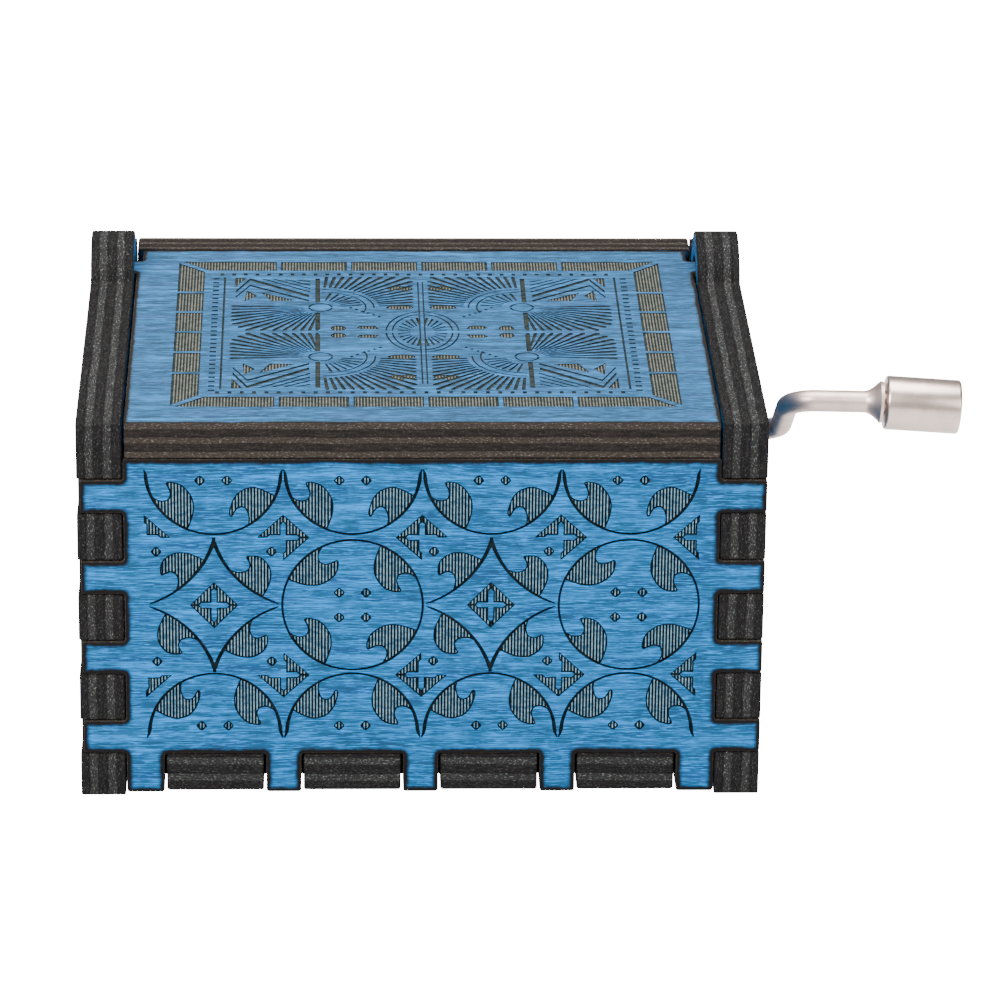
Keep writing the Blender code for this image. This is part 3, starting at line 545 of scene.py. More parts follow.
    def sides(self, pen: Engraver) -> None:
        """The upright bars by the hubs and the chevrons and triangles in the field's corners."""
        for bar in self.grooves[1:]:
            self.mirrored(pen.groove, bar)
        for inset, width in ((0.0, 0.34), (1.3, 0.22)):
            path = [(18.1, 11.4 - 1.2 * inset), (16.7, 15.0 - 1.35 * inset), (10.9, 10.1 - inset)]
            edge = [(x, y + width) for x, y in path] + [(x, y - width) for x, y in reversed(path)]
            self.mirrored(pen.groove, edge)
        for i in range(4):
            left, top, foot = 15.7 - 1.15 * i, 15.2 - 0.1 * i, 11.2 + 0.98 * i
            self.mirrored(pen.groove, [(left, top), (left - 0.35, top), (10.8, foot + 0.3), (10.8, foot)])
        for blot in self.blots[1:]:
            self.mirrored(pen.hatch, blot)

    def draw(self) -> list[Mark]:
        """All the marks of the lid."""
        pen = Engraver()
        self.blocks(pen)
        self.beads(pen)
        self.fans(pen)
        self.middle(pen)
        self.sides(pen)
        return pen.marks


# ---------------------------------------------------------------- shader graphs

class Graph:
    """Places and links the nodes of one shader tree."""

    def __init__(self, tree: NodeTree) -> None:
        """Keeps the tree that nodes go to."""
        self.tree = tree

    def put(self, kind: str, **settings: object) -> Node:
        """Adds a node and sets its properties."""
        node = self.tree.nodes.new(kind)
        for name, value in settings.items():
            setattr(node, name, value)
        return node

    def feed(self, socket: Socket, value: object) -> None:
        """Links another socket to this one, or sets its value."""
        if isinstance(value, Socket):
            self.tree.links.new(value, socket)
        elif isinstance(value, tuple) and socket.type == "RGBA":
            socket.default_value = (*value[:3], 1)
        else:
            socket.default_value = value

    def math(self, operation: str, first: object, second: object = 0.0) -> Socket:
        """A Math node."""
        node = self.put("ShaderNodeMath", operation=operation)
        self.feed(node.inputs[0], first)
        self.feed(node.inputs[1], second)
        return node.outputs[0]

    def times(self, first: object, second: object) -> Socket:
        """The product of two values."""
        return self.math("MULTIPLY", first, second)

    def plus(self, first: object, second: object) -> Socket:
        """The sum of two values."""
        return self.math("ADD", first, second)

    def minus(self, first: object, second: object) -> Socket:
        """The difference of two values."""
        return self.math("SUBTRACT", first, second)

    def step(self, value: object, low: float, high: float) -> Socket:
        """0 at low, 1 at high and smooth between them."""
        node = self.put("ShaderNodeMapRange", interpolation_type="SMOOTHSTEP")
        self.feed(node.inputs["Value"], value)
        self.feed(node.inputs["From Min"], low)
        self.feed(node.inputs["From Max"], high)
        return node.outputs["Result"]

    def mix(self, share: object, first: object, second: object) -> Socket:
        """Mixes two colours."""
        node = self.put("ShaderNodeMix", data_type="RGBA")
        self.feed(node.inputs["Factor"], share)
        self.feed(node.inputs[6], first)
        self.feed(node.inputs[7], second)
        return node.outputs[2]

    def stretched(self, vector: object, scale: object) -> Socket:
        """A vector multiplied by another."""
        node = self.put("ShaderNodeVectorMath", operation="MULTIPLY")
        self.feed(node.inputs[0], vector)
        self.feed(node.inputs[1], scale)
        return node.outputs[0]

    def joined(self, x: object, y: object, z: object) -> Socket:
        """A vector made of three values."""
        node = self.put("ShaderNodeCombineXYZ")
        for socket, value in zip(node.inputs, (x, y, z)):
            self.feed(socket, value)
        return node.outputs[0]

    def noise(self, vector: object, scale: float = 1.0, detail: float = 4.0, roughness: float = 0.55,
              distortion: float = 0.0) -> Socket:
        """A noise value about 0.5."""
        node = self.put("ShaderNodeTexNoise")
        self.feed(node.inputs["Vector"], vector)
        for name, value in (("Scale", scale), ("Detail", detail), ("Roughness", roughness),
                            ("Distortion", distortion)):
            self.feed(node.inputs[name], value)
        return node.outputs["Fac"]

    def effect(self, group: NodeTree, **inputs: object) -> Node:
        """Places a shared effect."""
        node = self.put("ShaderNodeGroup", node_tree=group)
        for name, value in inputs.items():
            self.feed(node.inputs[name], value)
        return node


def effect_group(name: str, inputs: dict[str, object], outputs: Sequence[str]
                 ) -> tuple[NodeTree, dict[str, Socket]]:
    """Starts a shared effect.

    Args:
        name: Name of the node group.
        inputs: Its inputs with their default values. None makes a vector input.
        outputs: Names of its value outputs.

    Returns:
        The tree and its input sockets by name. The group's output node is named "out".
    """
    tree = bpy.data.node_groups.new(name, "ShaderNodeTree")
    for label, value in inputs.items():
        kind = "NodeSocketVector" if value is None else "NodeSocketFloat"
        socket = tree.interface.new_socket(name=label, in_out="INPUT", socket_type=kind)
        if value is not None:
            socket.default_value = value
    for label in outputs:
        tree.interface.new_socket(name=label, in_out="OUTPUT", socket_type="NodeSocketFloat")
    given = tree.nodes.new("NodeGroupInput")
    out = tree.nodes.new("NodeGroupOutput")
    out.name = "out"
    return tree, {socket.name: socket for socket in given.outputs if socket.name}


def wood_figure() -> NodeTree:
    """Grain of a sliced veneer that runs along local X."""
    tree, given = effect_group("wood_figure", {"Vector": None, "Along": 60.0, "Across": 900.0},
                               ("Streaks", "Fibre", "Pores", "Cloud"))
    g = Graph(tree)
    out = tree.nodes["out"]
    place = g.stretched(given["Vector"], g.joined(given["Along"], given["Across"], given["Across"]))
    wavy = g.noise(g.stretched(place, (0.5, 0.06, 0.06)), detail=2)
    sway = g.joined(0.0, g.times(wavy, 2.4), 0.0)
    moved = g.put("ShaderNodeVectorMath", operation="ADD")
    g.feed(moved.inputs[0], place)
    g.feed(moved.inputs[1], sway)
    place = moved.outputs[0]
    g.feed(out.inputs["Streaks"], g.noise(place, detail=8, roughness=0.72, distortion=0.2))
    g.feed(out.inputs["Fibre"], g.noise(g.stretched(place, (9.0, 6.5, 6.5)), detail=2, roughness=0.7))
    pores = g.noise(g.stretched(place, (2.2, 2.4, 2.4)), detail=2, roughness=0.5)
    g.feed(out.inputs["Pores"], g.step(pores, 0.66, 0.74))
    g.feed(out.inputs["Cloud"], g.noise(g.stretched(place, (1.6, 0.42, 0.42)), detail=5, roughness=0.6))
    return tree


def burnt_rim() -> NodeTree:
    """Scorching that fades away from a laser-cut edge. Rim is 0 at the edge and 1 past it."""
    tree, given = effect_group("burnt_rim", {"Vector": None, "Rim": 1.0, "Reach": 0.6}, ("Burn", "Haze"))
    g = Graph(tree)
    ragged = g.noise(g.stretched(given["Vector"], (1500.0, 1500.0, 1500.0)), detail=3)
    wide = g.noise(g.stretched(given["Vector"], (260.0, 260.0, 260.0)), detail=1)
    edge = g.plus(given["Rim"], g.times(g.minus(ragged, 0.5), 0.5))
    edge = g.plus(edge, g.times(g.minus(wide, 0.5), 0.5))
    share = g.math("DIVIDE", edge, given["Reach"])
    g.feed(tree.nodes["out"].inputs["Burn"], g.minus(1.0, g.step(share, 0.35, 1.05)))
    g.feed(tree.nodes["out"].inputs["Haze"], g.minus(1.0, g.step(share, 0.5, 1.7)))
    return tree


def ply_layers() -> NodeTree:
    """The veneers seen on a cut edge. Depth runs from 0 at the face to Thickness at the back."""
    inputs = {"Vector": None, "Depth": 0.0, "Thickness": 0.0035, "Layers": 5.0, "Shift": 0.0}
    tree, given = effect_group("ply_layers", inputs, ("End", "Seam", "Flecks", "Fibre"))
    g = Graph(tree)
    out = tree.nodes["out"]
    wander = g.noise(g.stretched(given["Vector"], (160.0, 160.0, 160.0)), detail=2)
    count = g.times(g.math("DIVIDE", given["Depth"], given["Thickness"]), given["Layers"])
    count = g.plus(count, g.times(g.minus(wander, 0.5), 0.55))
    count = g.plus(count, given["Shift"])
    wave = g.math("COSINE", g.times(count, math.pi))
    swing = g.math("SINE", g.times(count, math.pi))
    g.feed(out.inputs["End"], g.minus(1.0, g.step(swing, -0.55, 0.35)))
    g.feed(out.inputs["Seam"], g.step(g.math("ABSOLUTE", wave), 0.93, 0.995))
    fine = g.noise(g.stretched(given["Vector"], (4200.0, 4200.0, 9500.0)), detail=3, roughness=0.75)
    g.feed(out.inputs["Flecks"], g.step(fine, 0.54, 0.68))
    g.feed(out.inputs["Fibre"], g.noise(g.stretched(given["Vector"], (500.0, 500.0, 5200.0)), detail=5))
    return tree


def satin_marks() -> NodeTree:
    """Fine brushing round or along a metal piece, with faint handling marks."""
    tree, given = effect_group("satin_marks", {"Vector": None, "X": 900.0, "Y": 900.0, "Z": 900.0},
                               ("Brushing", "Smears"))
    g = Graph(tree)
    place = g.stretched(given["Vector"], g.joined(given["X"], given["Y"], given["Z"]))
    g.feed(tree.nodes["out"].inputs["Brushing"], g.noise(place, detail=5, roughness=0.7))
    smears = g.noise(g.stretched(given["Vector"], (420.0, 420.0, 420.0)), detail=3, distortion=0.6)
    g.feed(tree.nodes["out"].inputs["Smears"], smears)
    return tree


WOOD, BURN, LAYERS, SATIN = wood_figure(), burnt_rim(), ply_layers(), satin_marks()


def start_material(name: str) -> tuple[Material, Graph, Node]:
    """A new material, its graph and its Principled shader."""
    material = bpy.data.materials.new(name)
    material.use_nodes = True
    graph = Graph(material.node_tree)
    return material, graph, material.node_tree.nodes["Principled BSDF"]


def local_place(graph: Graph) -> Socket:
    """The point in the piece's own coordinates."""
    return graph.put("ShaderNodeTexCoord").outputs["Object"]


def roughen(graph: Graph, shader: Node, height: object, depth: float) -> None:
    """Feeds a bump to the shader."""
    bump = graph.put("ShaderNodeBump")
    graph.feed(bump.inputs["Height"], height)
    graph.feed(bump.inputs["Distance"], depth)
    graph.feed(shader.inputs["Normal"], bump.outputs["Normal"])


@dataclass(frozen=True)
class VeneerFinish:
    """A veneer, dyed or bare, scorched at its cut edges."""

    name: str
    body: Colour
    deep: Colour
    light: Colour
    pore: Colour
    char: Colour = (0.020, 0.014, 0.011)
    haze: Colour = (0.05, 0.06, 0.07)
    cast: Colour = (0.014, 0.05, 0.15)
    reach: float = 0.85
    along: float = 55.0
    across: float = 1150.0
    contrast: float = 1.0
    gloss: float = 0.06

    def make(self) -> Material:
        """Builds the material."""
        material, g, shader = start_material(self.name)
        place = local_place(g)
        wood = g.effect(WOOD, Vector=place, Along=self.along, Across=self.across)
        rim = g.put("ShaderNodeAttribute", attribute_name="rim").outputs["Fac"]
        burn = g.effect(BURN, Vector=place, Rim=rim, Reach=self.reach)
        streaks, fibre, pores, cloud = (wood.outputs[name] for name in ("Streaks", "Fibre", "Pores", "Cloud"))
        spread = 0.13 / self.contrast
        colour = self.deep
        for mask, share, tone in (
                (g.step(streaks, 0.5 - spread, 0.5 + spread), 1.0, self.body),
                (g.step(streaks, 0.52, 0.52 + 1.3 * spread), 0.95, self.light),
                (g.step(cloud, 0.5, 0.64), 0.7, self.cast), (g.step(cloud, 0.5, 0.32), 0.25, self.light),
                (g.step(fibre, 0.52, 0.6), 0.75, self.light), (g.step(fibre, 0.47, 0.37), 0.75, self.deep),
                (pores, 0.55, self.pore), (burn.outputs["Haze"], 0.62, self.haze),
                (burn.outputs["Burn"], 1.0, self.char)):
            colour = g.mix(g.times(mask, share), colour, tone)
        g.feed(shader.inputs["Base Color"], colour)
        rough = g.minus(0.78, g.times(streaks, 0.22))
        g.feed(shader.inputs["Roughness"], rough)
        shader.inputs["Specular IOR Level"].default_value = self.gloss
        height = g.minus(g.plus(streaks, g.times(fibre, 0.5)), g.times(pores, 0.5))
        roughen(g, shader, height, 0.06 * MM)
        return material


@dataclass(frozen=True)
class CutEdgeFinish:
    """A laser-cut plywood edge: charred veneers, the crosswise ones greyer and flecked."""

    name: str
    char: Colour
    end_grain: Colour
    fleck: Colour
    seam: Colour
    thickness: float
    layers: float = 5.0
    shift: float = 0.0
    end_share: float = 0.6

    def make(self) -> Material:
        """Builds the material."""
        material, g, shader = start_material(self.name)
        place = local_place(g)
        split = g.put("ShaderNodeSeparateXYZ")
        g.feed(split.inputs[0], place)
        depth = g.times(split.outputs["Z"], -1.0)
        ply = g.effect(LAYERS, Vector=place, Depth=depth, Thickness=self.thickness,
                       Layers=self.layers, Shift=self.shift)
        end = g.times(ply.outputs["End"], self.end_share)
        colour = g.mix(end, self.char, self.end_grain)
        fibre = g.step(ply.outputs["Fibre"], 0.35, 0.7)
        colour = g.mix(g.times(fibre, 0.4), colour, self.seam)
        flecked = g.times(ply.outputs["Flecks"], g.plus(0.3, end))
        colour = g.mix(g.times(flecked, 0.6), colour, self.fleck)
        colour = g.mix(g.times(ply.outputs["Seam"], 0.4), colour, self.char)
        g.feed(shader.inputs["Base Color"], colour)
        g.feed(shader.inputs["Roughness"], g.minus(0.85, g.times(fibre, 0.25)))
        shader.inputs["Specular IOR Level"].default_value = 0.08
        height = g.plus(ply.outputs["Fibre"], g.times(ply.outputs["Seam"], -0.5))
        roughen(g, shader, height, 0.12 * MM)
        return material


@dataclass(frozen=True)
class EngravedFinish:
    """The bottom or the ridges of an engraving."""

    name: str
    dark: Colour
    pale: Colour

    def make(self) -> Material:
        """Builds the material."""
        material, g, shader = start_material(self.name)
        place = local_place(g)
        soot = g.noise(g.stretched(place, (1400.0, 2600.0, 2600.0)), detail=4, roughness=0.6)
        g.feed(shader.inputs["Base Color"],
               g.mix(g.step(soot, 0.32, 0.68), self.dark, self.pale))
        g.feed(shader.inputs["Roughness"], g.plus(0.62, g.times(soot, 0.3)))
        shader.inputs["Specular IOR Level"].default_value = 0.05
        roughen(g, shader, soot, 0.06 * MM)
        return material


@dataclass(frozen=True)
class MetalFinish:
    """A satin or brushed metal."""

    name: str
    colour: Colour
    tint: Colour
    roughness: float
    brushing: tuple[float, float, float] = (900.0, 900.0, 900.0)
    relief: float = 0.004 * MM

    def make(self) -> Material:
        """Builds the material."""
        material, g, shader = start_material(self.name)
        marks = g.effect(SATIN, Vector=local_place(g), X=self.brushing[0], Y=self.brushing[1],
                         Z=self.brushing[2])
        smears, brushing = marks.outputs["Smears"], marks.outputs["Brushing"]
        g.feed(shader.inputs["Base Color"], g.mix(g.step(smears, 0.4, 0.75), self.colour, self.tint))
        rough = g.plus(self.roughness - 0.06, g.times(brushing, 0.12))
        g.feed(shader.inputs["Roughness"], g.plus(rough, g.times(smears, 0.05)))
        shader.inputs["Metallic"].default_value = 1.0
        roughen(g, shader, brushing, self.relief)
        return material


@dataclass(frozen=True)
class NylonFinish:
    """Moulded plastic, faintly mottled."""

    name: str
    colour: Colour
    shade: Colour

    def make(self) -> Material:
        """Builds the material."""
        material, g, shader = start_material(self.name)
        mottle = g.noise(g.stretched(local_place(g), (700.0, 700.0, 700.0)), detail=3)
        g.feed(shader.inputs["Base Color"], g.mix(g.step(mottle, 0.35, 0.7), self.colour, self.shade))
        g.feed(shader.inputs["Roughness"], g.plus(0.32, g.times(mottle, 0.15)))
        roughen(g, shader, mottle, 0.01 * MM)
        return material


class Finishes:
    """Every material of the box, built once."""

    def __init__(self) -> None:
        """Builds them."""
        soot = (0.012, 0.009, 0.007)
        self.dyed = VeneerFinish(
            "dyed_veneer", (0.009, 0.125, 0.32), (0.01, 0.055, 0.12), (0.01, 0.25, 0.72), (0.008, 0.024, 0.045),
            char=(0.005, 0.0048, 0.005), haze=(0.01, 0.024, 0.038), reach=0.75, across=1400.0).make()
        self.dyed_lid = VeneerFinish(
            "dyed_lid_veneer", (0.021, 0.078, 0.165), (0.018, 0.044, 0.076), (0.034, 0.158, 0.36),
            (0.013, 0.028, 0.044), char=(0.014, 0.011, 0.009), haze=(0.03, 0.05, 0.06),
            cast=(0.03, 0.075, 0.17), contrast=1.5, reach=0.5, across=1100.0).make()
        self.bare = VeneerFinish(
            "bare_veneer", (0.26, 0.165, 0.09), (0.17, 0.1, 0.052), (0.36, 0.25, 0.15), (0.08, 0.045, 0.024),
            char=soot, haze=(0.08, 0.048, 0.028), cast=(0.2, 0.12, 0.06)).make()
        self.edge = CutEdgeFinish(
            "cut_edge", (0.0072, 0.006, 0.0058), (0.036, 0.029, 0.024), (0.2, 0.18, 0.15), (0.03, 0.019, 0.015),
            3.5 * MM, shift=1.0).make()
        self.thick_edge = CutEdgeFinish(
            "thick_cut_edge", (0.0046, 0.0042, 0.0046), (0.022, 0.023, 0.022), (0.24, 0.25, 0.24),
            (0.012, 0.009, 0.009), 4.2 * MM).make()
        self.groove, self.ridge, self.lid_groove, self.lid_ridge = (
            EngravedFinish(name, dark, pale).make() for name, dark, pale in (
                ("engraved_groove", (0.0015, 0.003, 0.004), (0.008, 0.014, 0.016)),
                ("engraved_ridge", (0.03, 0.1, 0.17), (0.14, 0.26, 0.34)),
                ("lid_engraved_groove", (0.007, 0.012, 0.012), (0.03, 0.034, 0.028)),
                ("lid_engraved_ridge", (0.05, 0.062, 0.062), (0.15, 0.145, 0.12))))
        self.nickel = MetalFinish("satin_nickel", (0.63, 0.5, 0.44), (0.51, 0.4, 0.345), 0.3,
                                  (2400.0, 300.0, 300.0), 0.01 * MM).make()
        self.rod = MetalFinish("satin_nickel_rod", (0.66, 0.515, 0.45), (0.55, 0.42, 0.36), 0.42,
                               relief=0.01 * MM).make()
        self.steel = MetalFinish("spring_steel", (0.5, 0.51, 0.53), (0.4, 0.41, 0.43), 0.28,
                                 (2400.0, 300.0, 2400.0)).make()
        self.brass = MetalFinish("movement_brass", (0.72, 0.52, 0.22), (0.58, 0.4, 0.16), 0.32,
                                 (300.0, 2000.0, 2000.0)).make()
        self.lead = MetalFinish("comb_lead", (0.23, 0.23, 0.25), (0.15, 0.15, 0.17), 0.55).make()
        self.nylon = NylonFinish("wheel_nylon", (0.74, 0.72, 0.66), (0.62, 0.6, 0.54)).make()


FINISHES = Finishes()


# ---------------------------------------------------------------- pieces

def placed(name: str, data: bpy.types.ID | None, stand: Matrix | None = None) -> bpy.types.Object:
    """A new object in the scene."""
    thing = bpy.data.objects.new(name, data)
    bpy.context.scene.collection.objects.link(thing)
    if stand is not None:
        thing.matrix_world = stand
    return thing


def show(name: str, mesh: bpy.types.Mesh, materials: Sequence[Material], body: str,
         nodes: Sequence[str], stand: Matrix | None = None) -> None:
    """Stands a mesh in the scene as a piece of the box.

    Args:
        name: The piece's name.
        mesh: Its mesh, in its own coordinates.
        materials: Its materials, by index.
        body: The body that it rides on.
        nodes: The frame's nodes that it stands for.
        stand: Where its own coordinates lie.
    """
    mesh.shade_smooth()
    mesh.set_sharp_from_angle(angle=SHARP_TURN)
    for material in materials:
        mesh.materials.append(material)
    piece = placed(name, mesh, stand)
    bpy.context.view_layer.update()
    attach(piece, body)
    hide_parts(*nodes)
    LOG.info("%s: %d faces on %s", name, len(mesh.polygons), body)


def middle_of(node: str) -> Vector:
    """The centre of a node's box."""
    low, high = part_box(node)
    return (Vector(low) + Vector(high)) / 2


@dataclass(frozen=True)
class Facing:
    """The frame of a panel's outer face: along, up and out, with the face in the plane out = 0."""

    along: tuple[int, int, int]
    up: tuple[int, int, int]

    def matrix(self, node: str) -> Matrix:
        """Where the panel's own coordinates lie for this node."""
        along, up = Vector(self.along), Vector(self.up)
        out = along.cross(up)
        low, high = (Vector(corner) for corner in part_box(node))
        place = out * max(low.dot(out), high.dot(out))
        return Matrix.LocRotScale(place, Matrix((along, up, out)).transposed(), None)


FRONT = Facing((1, 0, 0), (0, 0, 1))
BACK = Facing((-1, 0, 0), (0, 0, 1))
RIGHT = Facing((0, 1, 0), (0, 0, 1))
LEFT = Facing((0, -1, 0), (0, 0, 1))
TOP = Facing((1, 0, 0), (0, 1, 0))
UNDER = Facing((1, 0, 0), (0, -1, 0))


def without_flats(loop: Loop) -> Loop:
    """The loop without repeated points and points on a straight stretch."""
    points = [p for i, p in enumerate(loop) if (p - loop[i - 1]).length > 0.005 * MM]
    return [p for i, p in enumerate(points)
            if (p - points[i - 1]).angle(points[(i + 1) % len(points)] - p) > math.radians(0.5)]


def face_outlines(node: str, stand: Matrix) -> list[Loop]:
    """The outlines of a node's outer face, with the material on their left.

    Args:
        node: A flat node of the frame.
        stand: The panel's own coordinates. The face lies in their plane z = 0.

    Returns:
        Loops in the panel's coordinates, the outer one first.
    """
    mesh = frame["nodes"][node].data
    into = stand.inverted()
    places = [into @ vertex.co for vertex in mesh.vertices]
    keys = [(round(p.x / MM, 3), round(p.y / MM, 3)) for p in places]
    edges: set[tuple] = set()
    for polygon in mesh.polygons:
        if all(abs(places[i].z) < 0.002 * MM for i in polygon.vertices):
            ring = [keys[i] for i in polygon.vertices]
            edges.update(zip(ring, [*ring[1:], ring[0]]))
    ahead = {a: b for a, b in edges if (b, a) not in edges}
    loops = []
    while ahead:
        start = next(iter(sorted(ahead)))
        ring = [start]
        while (step := ahead.pop(ring[-1])) != start:
            ring.append(step)
        loops.append(without_flats([Vector(p) * MM for p in ring]))
    return sorted(loops, key=lambda loop: -abs(signed_area(loop)))


@dataclass
class CutPanel:
    """A laser-cut plywood panel with eased corners, broken edges, scorched rims and an engraving.

    Lengths are metres, but the pitch and width of the hatching's ridges are millimetres, like the marks.
    shrink draws the whole outline in, sunk_to lifts its lower edge and end_step draws its first end in.
    materials are the outer face, the cut edge, the grooves, the ridges and the inner face.
    """

    node: str
    facing: Facing
    marks: Sequence[Mark] = ()
    materials: Sequence[Material] = ()
    slot: str = "dyed_plywood"
    body: str = "case"
    corner: float = 0.28 * MM
    broken: float = 0.09 * MM
    rim: float = 0.75 * MM
    shrink: float = 0.0
    sunk_to: float = 0.0
    end_step: float = 0.0
    hatch_pitch: float = 0.296
    ridge_width: float = 0.115
    groove_depth: float = 0.2 * MM
    ridge_depth: float = 0.05 * MM
    verts: list[tuple[float, float, float]] = field(default_factory=list)
    faces: list[list[int]] = field(default_factory=list)
    kinds: list[int] = field(default_factory=list)
    rims: list[float] = field(default_factory=list)
    index: dict[tuple[float, float, float], int] = field(default_factory=dict)

    def vertex(self, x: float, y: float, z: float, rim: float) -> int:
        """The index of a vertex, shared by all that stand at one place."""
        key = (round(x / MM, 4), round(y / MM, 4), round(z / MM, 4))
        if key not in self.index:
            self.index[key] = len(self.verts)
            self.verts.append((x, y, z))
            self.rims.append(rim)
        return self.index[key]

    def face(self, corners: Sequence[int], kind: int) -> None:
        """Adds a face, without corners that fell together."""
        ring = list(dict.fromkeys(corners))
        if len(ring) > 2:
            self.faces.append(ring)
            self.kinds.append(kind)

    def stripes(self, loop: Loop) -> list[tuple[Vector, Vector]]:
        """The upright edges of the ridges inside a loop, in millimetres."""
        low, high = min(p.x for p in loop), max(p.x for p in loop)
        found = []
        for k in range(math.floor(low / self.hatch_pitch), math.ceil(high / self.hatch_pitch) + 1):
            for side in (-0.5, 0.5):
                x = k * self.hatch_pitch + side * self.ridge_width
                heights = crossings(loop, x)
                for bottom, top in zip(heights[::2], heights[1::2]):
                    if top - bottom > 0.05:
                        found.append((Vector((x, bottom)), Vector((x, top))))
        return found

    def level(self, kinds: set[Cut], x: float) -> tuple[float, int]:
        """Depth and material of a triangle, from the marks that cover it."""
        if Cut.KEPT in kinds or not kinds & {Cut.GROOVE, Cut.HATCH}:
            return 0.0, 0
        ridged = Cut.RIDGED in kinds and Cut.BARE not in kinds and Cut.GROOVE not in kinds
        near = abs(x / self.hatch_pitch - round(x / self.hatch_pitch)) * self.hatch_pitch
        if ridged and near < self.ridge_width / 2:
            return -self.ridge_depth, 3
        return -self.groove_depth, 2

    def triangulated(self, loops: Sequence[Loop], rim_loops: Sequence[Loop], marks: Sequence[Mark] = ()
                     ) -> tuple[list[Vector], list[tuple[list[int], set[Cut]]], list[bool]]:
        """Divides one side of the panel into triangles that follow every outline.

        Args:
            loops: The outlines of the side, in metres. All but the first are openings.
            rim_loops: Where the scorched rim ends.
            marks: The engraving.

        Returns:
            Places in millimetres, the triangles with the cuts that cover them, and whether each place is
            on the edge.
        """
        points: list[Vector] = []
        edges: list[tuple[int, int]] = []
        areas: list[list[int]] = []

        def add(loop: Iterable[Vector]) -> list[int]:
            """Adds points and gives their indices."""
            start = len(points)
            points.extend(loop)
            return list(range(start, len(points)))

        for number, loop in enumerate(loops):
            ring = add(p / MM for p in loop)
            areas.append(ring[::-1] if number else ring)
        on_edge = len(points)
        for loop in rim_loops:
            ring = add(p / MM for p in loop)
            edges += zip(ring, ring[1:] + ring[:1])
        for mark in marks:
            areas.append(add(mark.loop))
            if mark.cut is Cut.RIDGED:
                edges += (tuple(add(stripe)) for stripe in self.stripes(mark.loop))
        spots, _, triangles, came_from, _, covered = delaunay_2d_cdt(points, edges, areas, 1, 1e-4)
        count = len(loops)
        kept = [(triangle, {marks[i - count].cut for i in over if i >= count})
                for triangle, over in zip(triangles, covered)
                if 0 in over and not any(0 < i < count for i in over)]
        return spots, kept, [any(i < on_edge for i in origin) for origin in came_from]

    def surface(self, loops: Sequence[Loop], rim_loops: Sequence[Loop]) -> None:
        """Fills the outer face and sinks the engraving in it."""
        spots, triangles, on_edge = self.triangulated(loops, rim_loops, self.marks)
        owner: dict[tuple[int, int], float] = {}
        levels = []

        def corner(i: int, z: float) -> int:
            """The vertex over or under a place."""
            return self.vertex(spots[i].x * MM, spots[i].y * MM, z, 0.0 if on_edge[i] else 1.0)

        for triangle, cuts in triangles:
            levels.append(self.level(cuts, sum(spots[i].x for i in triangle) / 3))
            for side in zip(triangle, (*triangle[1:], triangle[0])):
                owner[side] = levels[-1][0]
        for (triangle, _), (depth, kind) in zip(triangles, levels):
            self.face([corner(i, depth) for i in triangle], kind)
            for a, b in zip(triangle, (*triangle[1:], triangle[0])):
                beside = owner.get((b, a), 0.0)
                if depth > beside:
                    self.face([corner(a, depth), corner(a, beside), corner(b, beside), corner(b, depth)], 2)
                elif (b, a) not in owner and depth < 0:
                    self.face([corner(b, 0.0), corner(b, depth), corner(a, depth), corner(a, 0.0)], 2)

    def inner_side(self, loops: Sequence[Loop], rim_loops: Sequence[Loop], level: float) -> None:
        """Fills the back of the panel."""
        spots, triangles, on_edge = self.triangulated(loops, rim_loops)
        for triangle, _ in triangles:
            self.face([self.vertex(spots[i].x * MM, spots[i].y * MM, level, 0.3 if on_edge[i] else 1.0)
                       for i in reversed(triangle)], 4)

    def walls(self, sharp: Sequence[Loop], top: float, bottom: float) -> tuple[list[Loop], list[Loop]]:
        """The cut edge with its broken corners, and the loops that it leaves for the two faces."""
        rounds = [eased(loop, self.corner, 0.0) for loop in sharp]
        insets = [eased(offset_loop(loop, self.broken), self.corner, self.broken) for loop in sharp]
        for outer, inner in zip(rounds, insets):
            rings = [(inner, top, 0.0), (outer, top - self.broken, 0.0), (outer, bottom + self.broken, 0.0),
                     (inner, bottom, 0.3)]
            rows = [[self.vertex(p.x, p.y, z, rim) for p in ring] for ring, z, rim in rings]
            for upper, lower in zip(rows, rows[1:]):
                for i in range(len(upper)):
                    j = (i + 1) % len(upper)
                    self.face([upper[i], lower[i], lower[j], upper[j]], 1)
        return insets, [eased(offset_loop(loop, self.rim), self.corner, self.rim) for loop in sharp]

    def straightened(self, loop: Loop) -> Loop:
        """The lid's outline with its sides straight as far as the pivot tabs."""
        hinge = next(joint["pos_m"][1] for joint in frame["joints"] if joint["name"] == "lid_hinge")
        front = min(p.y for p in loop)
        side = max(abs(p.x) for p in loop if p.y < front + 0.01 * MM)
        return without_flats([
            Vector((math.copysign(side, p.x), p.y)) if p.y < hinge and 0.9 * side < abs(p.x) < side else p
            for p in loop])

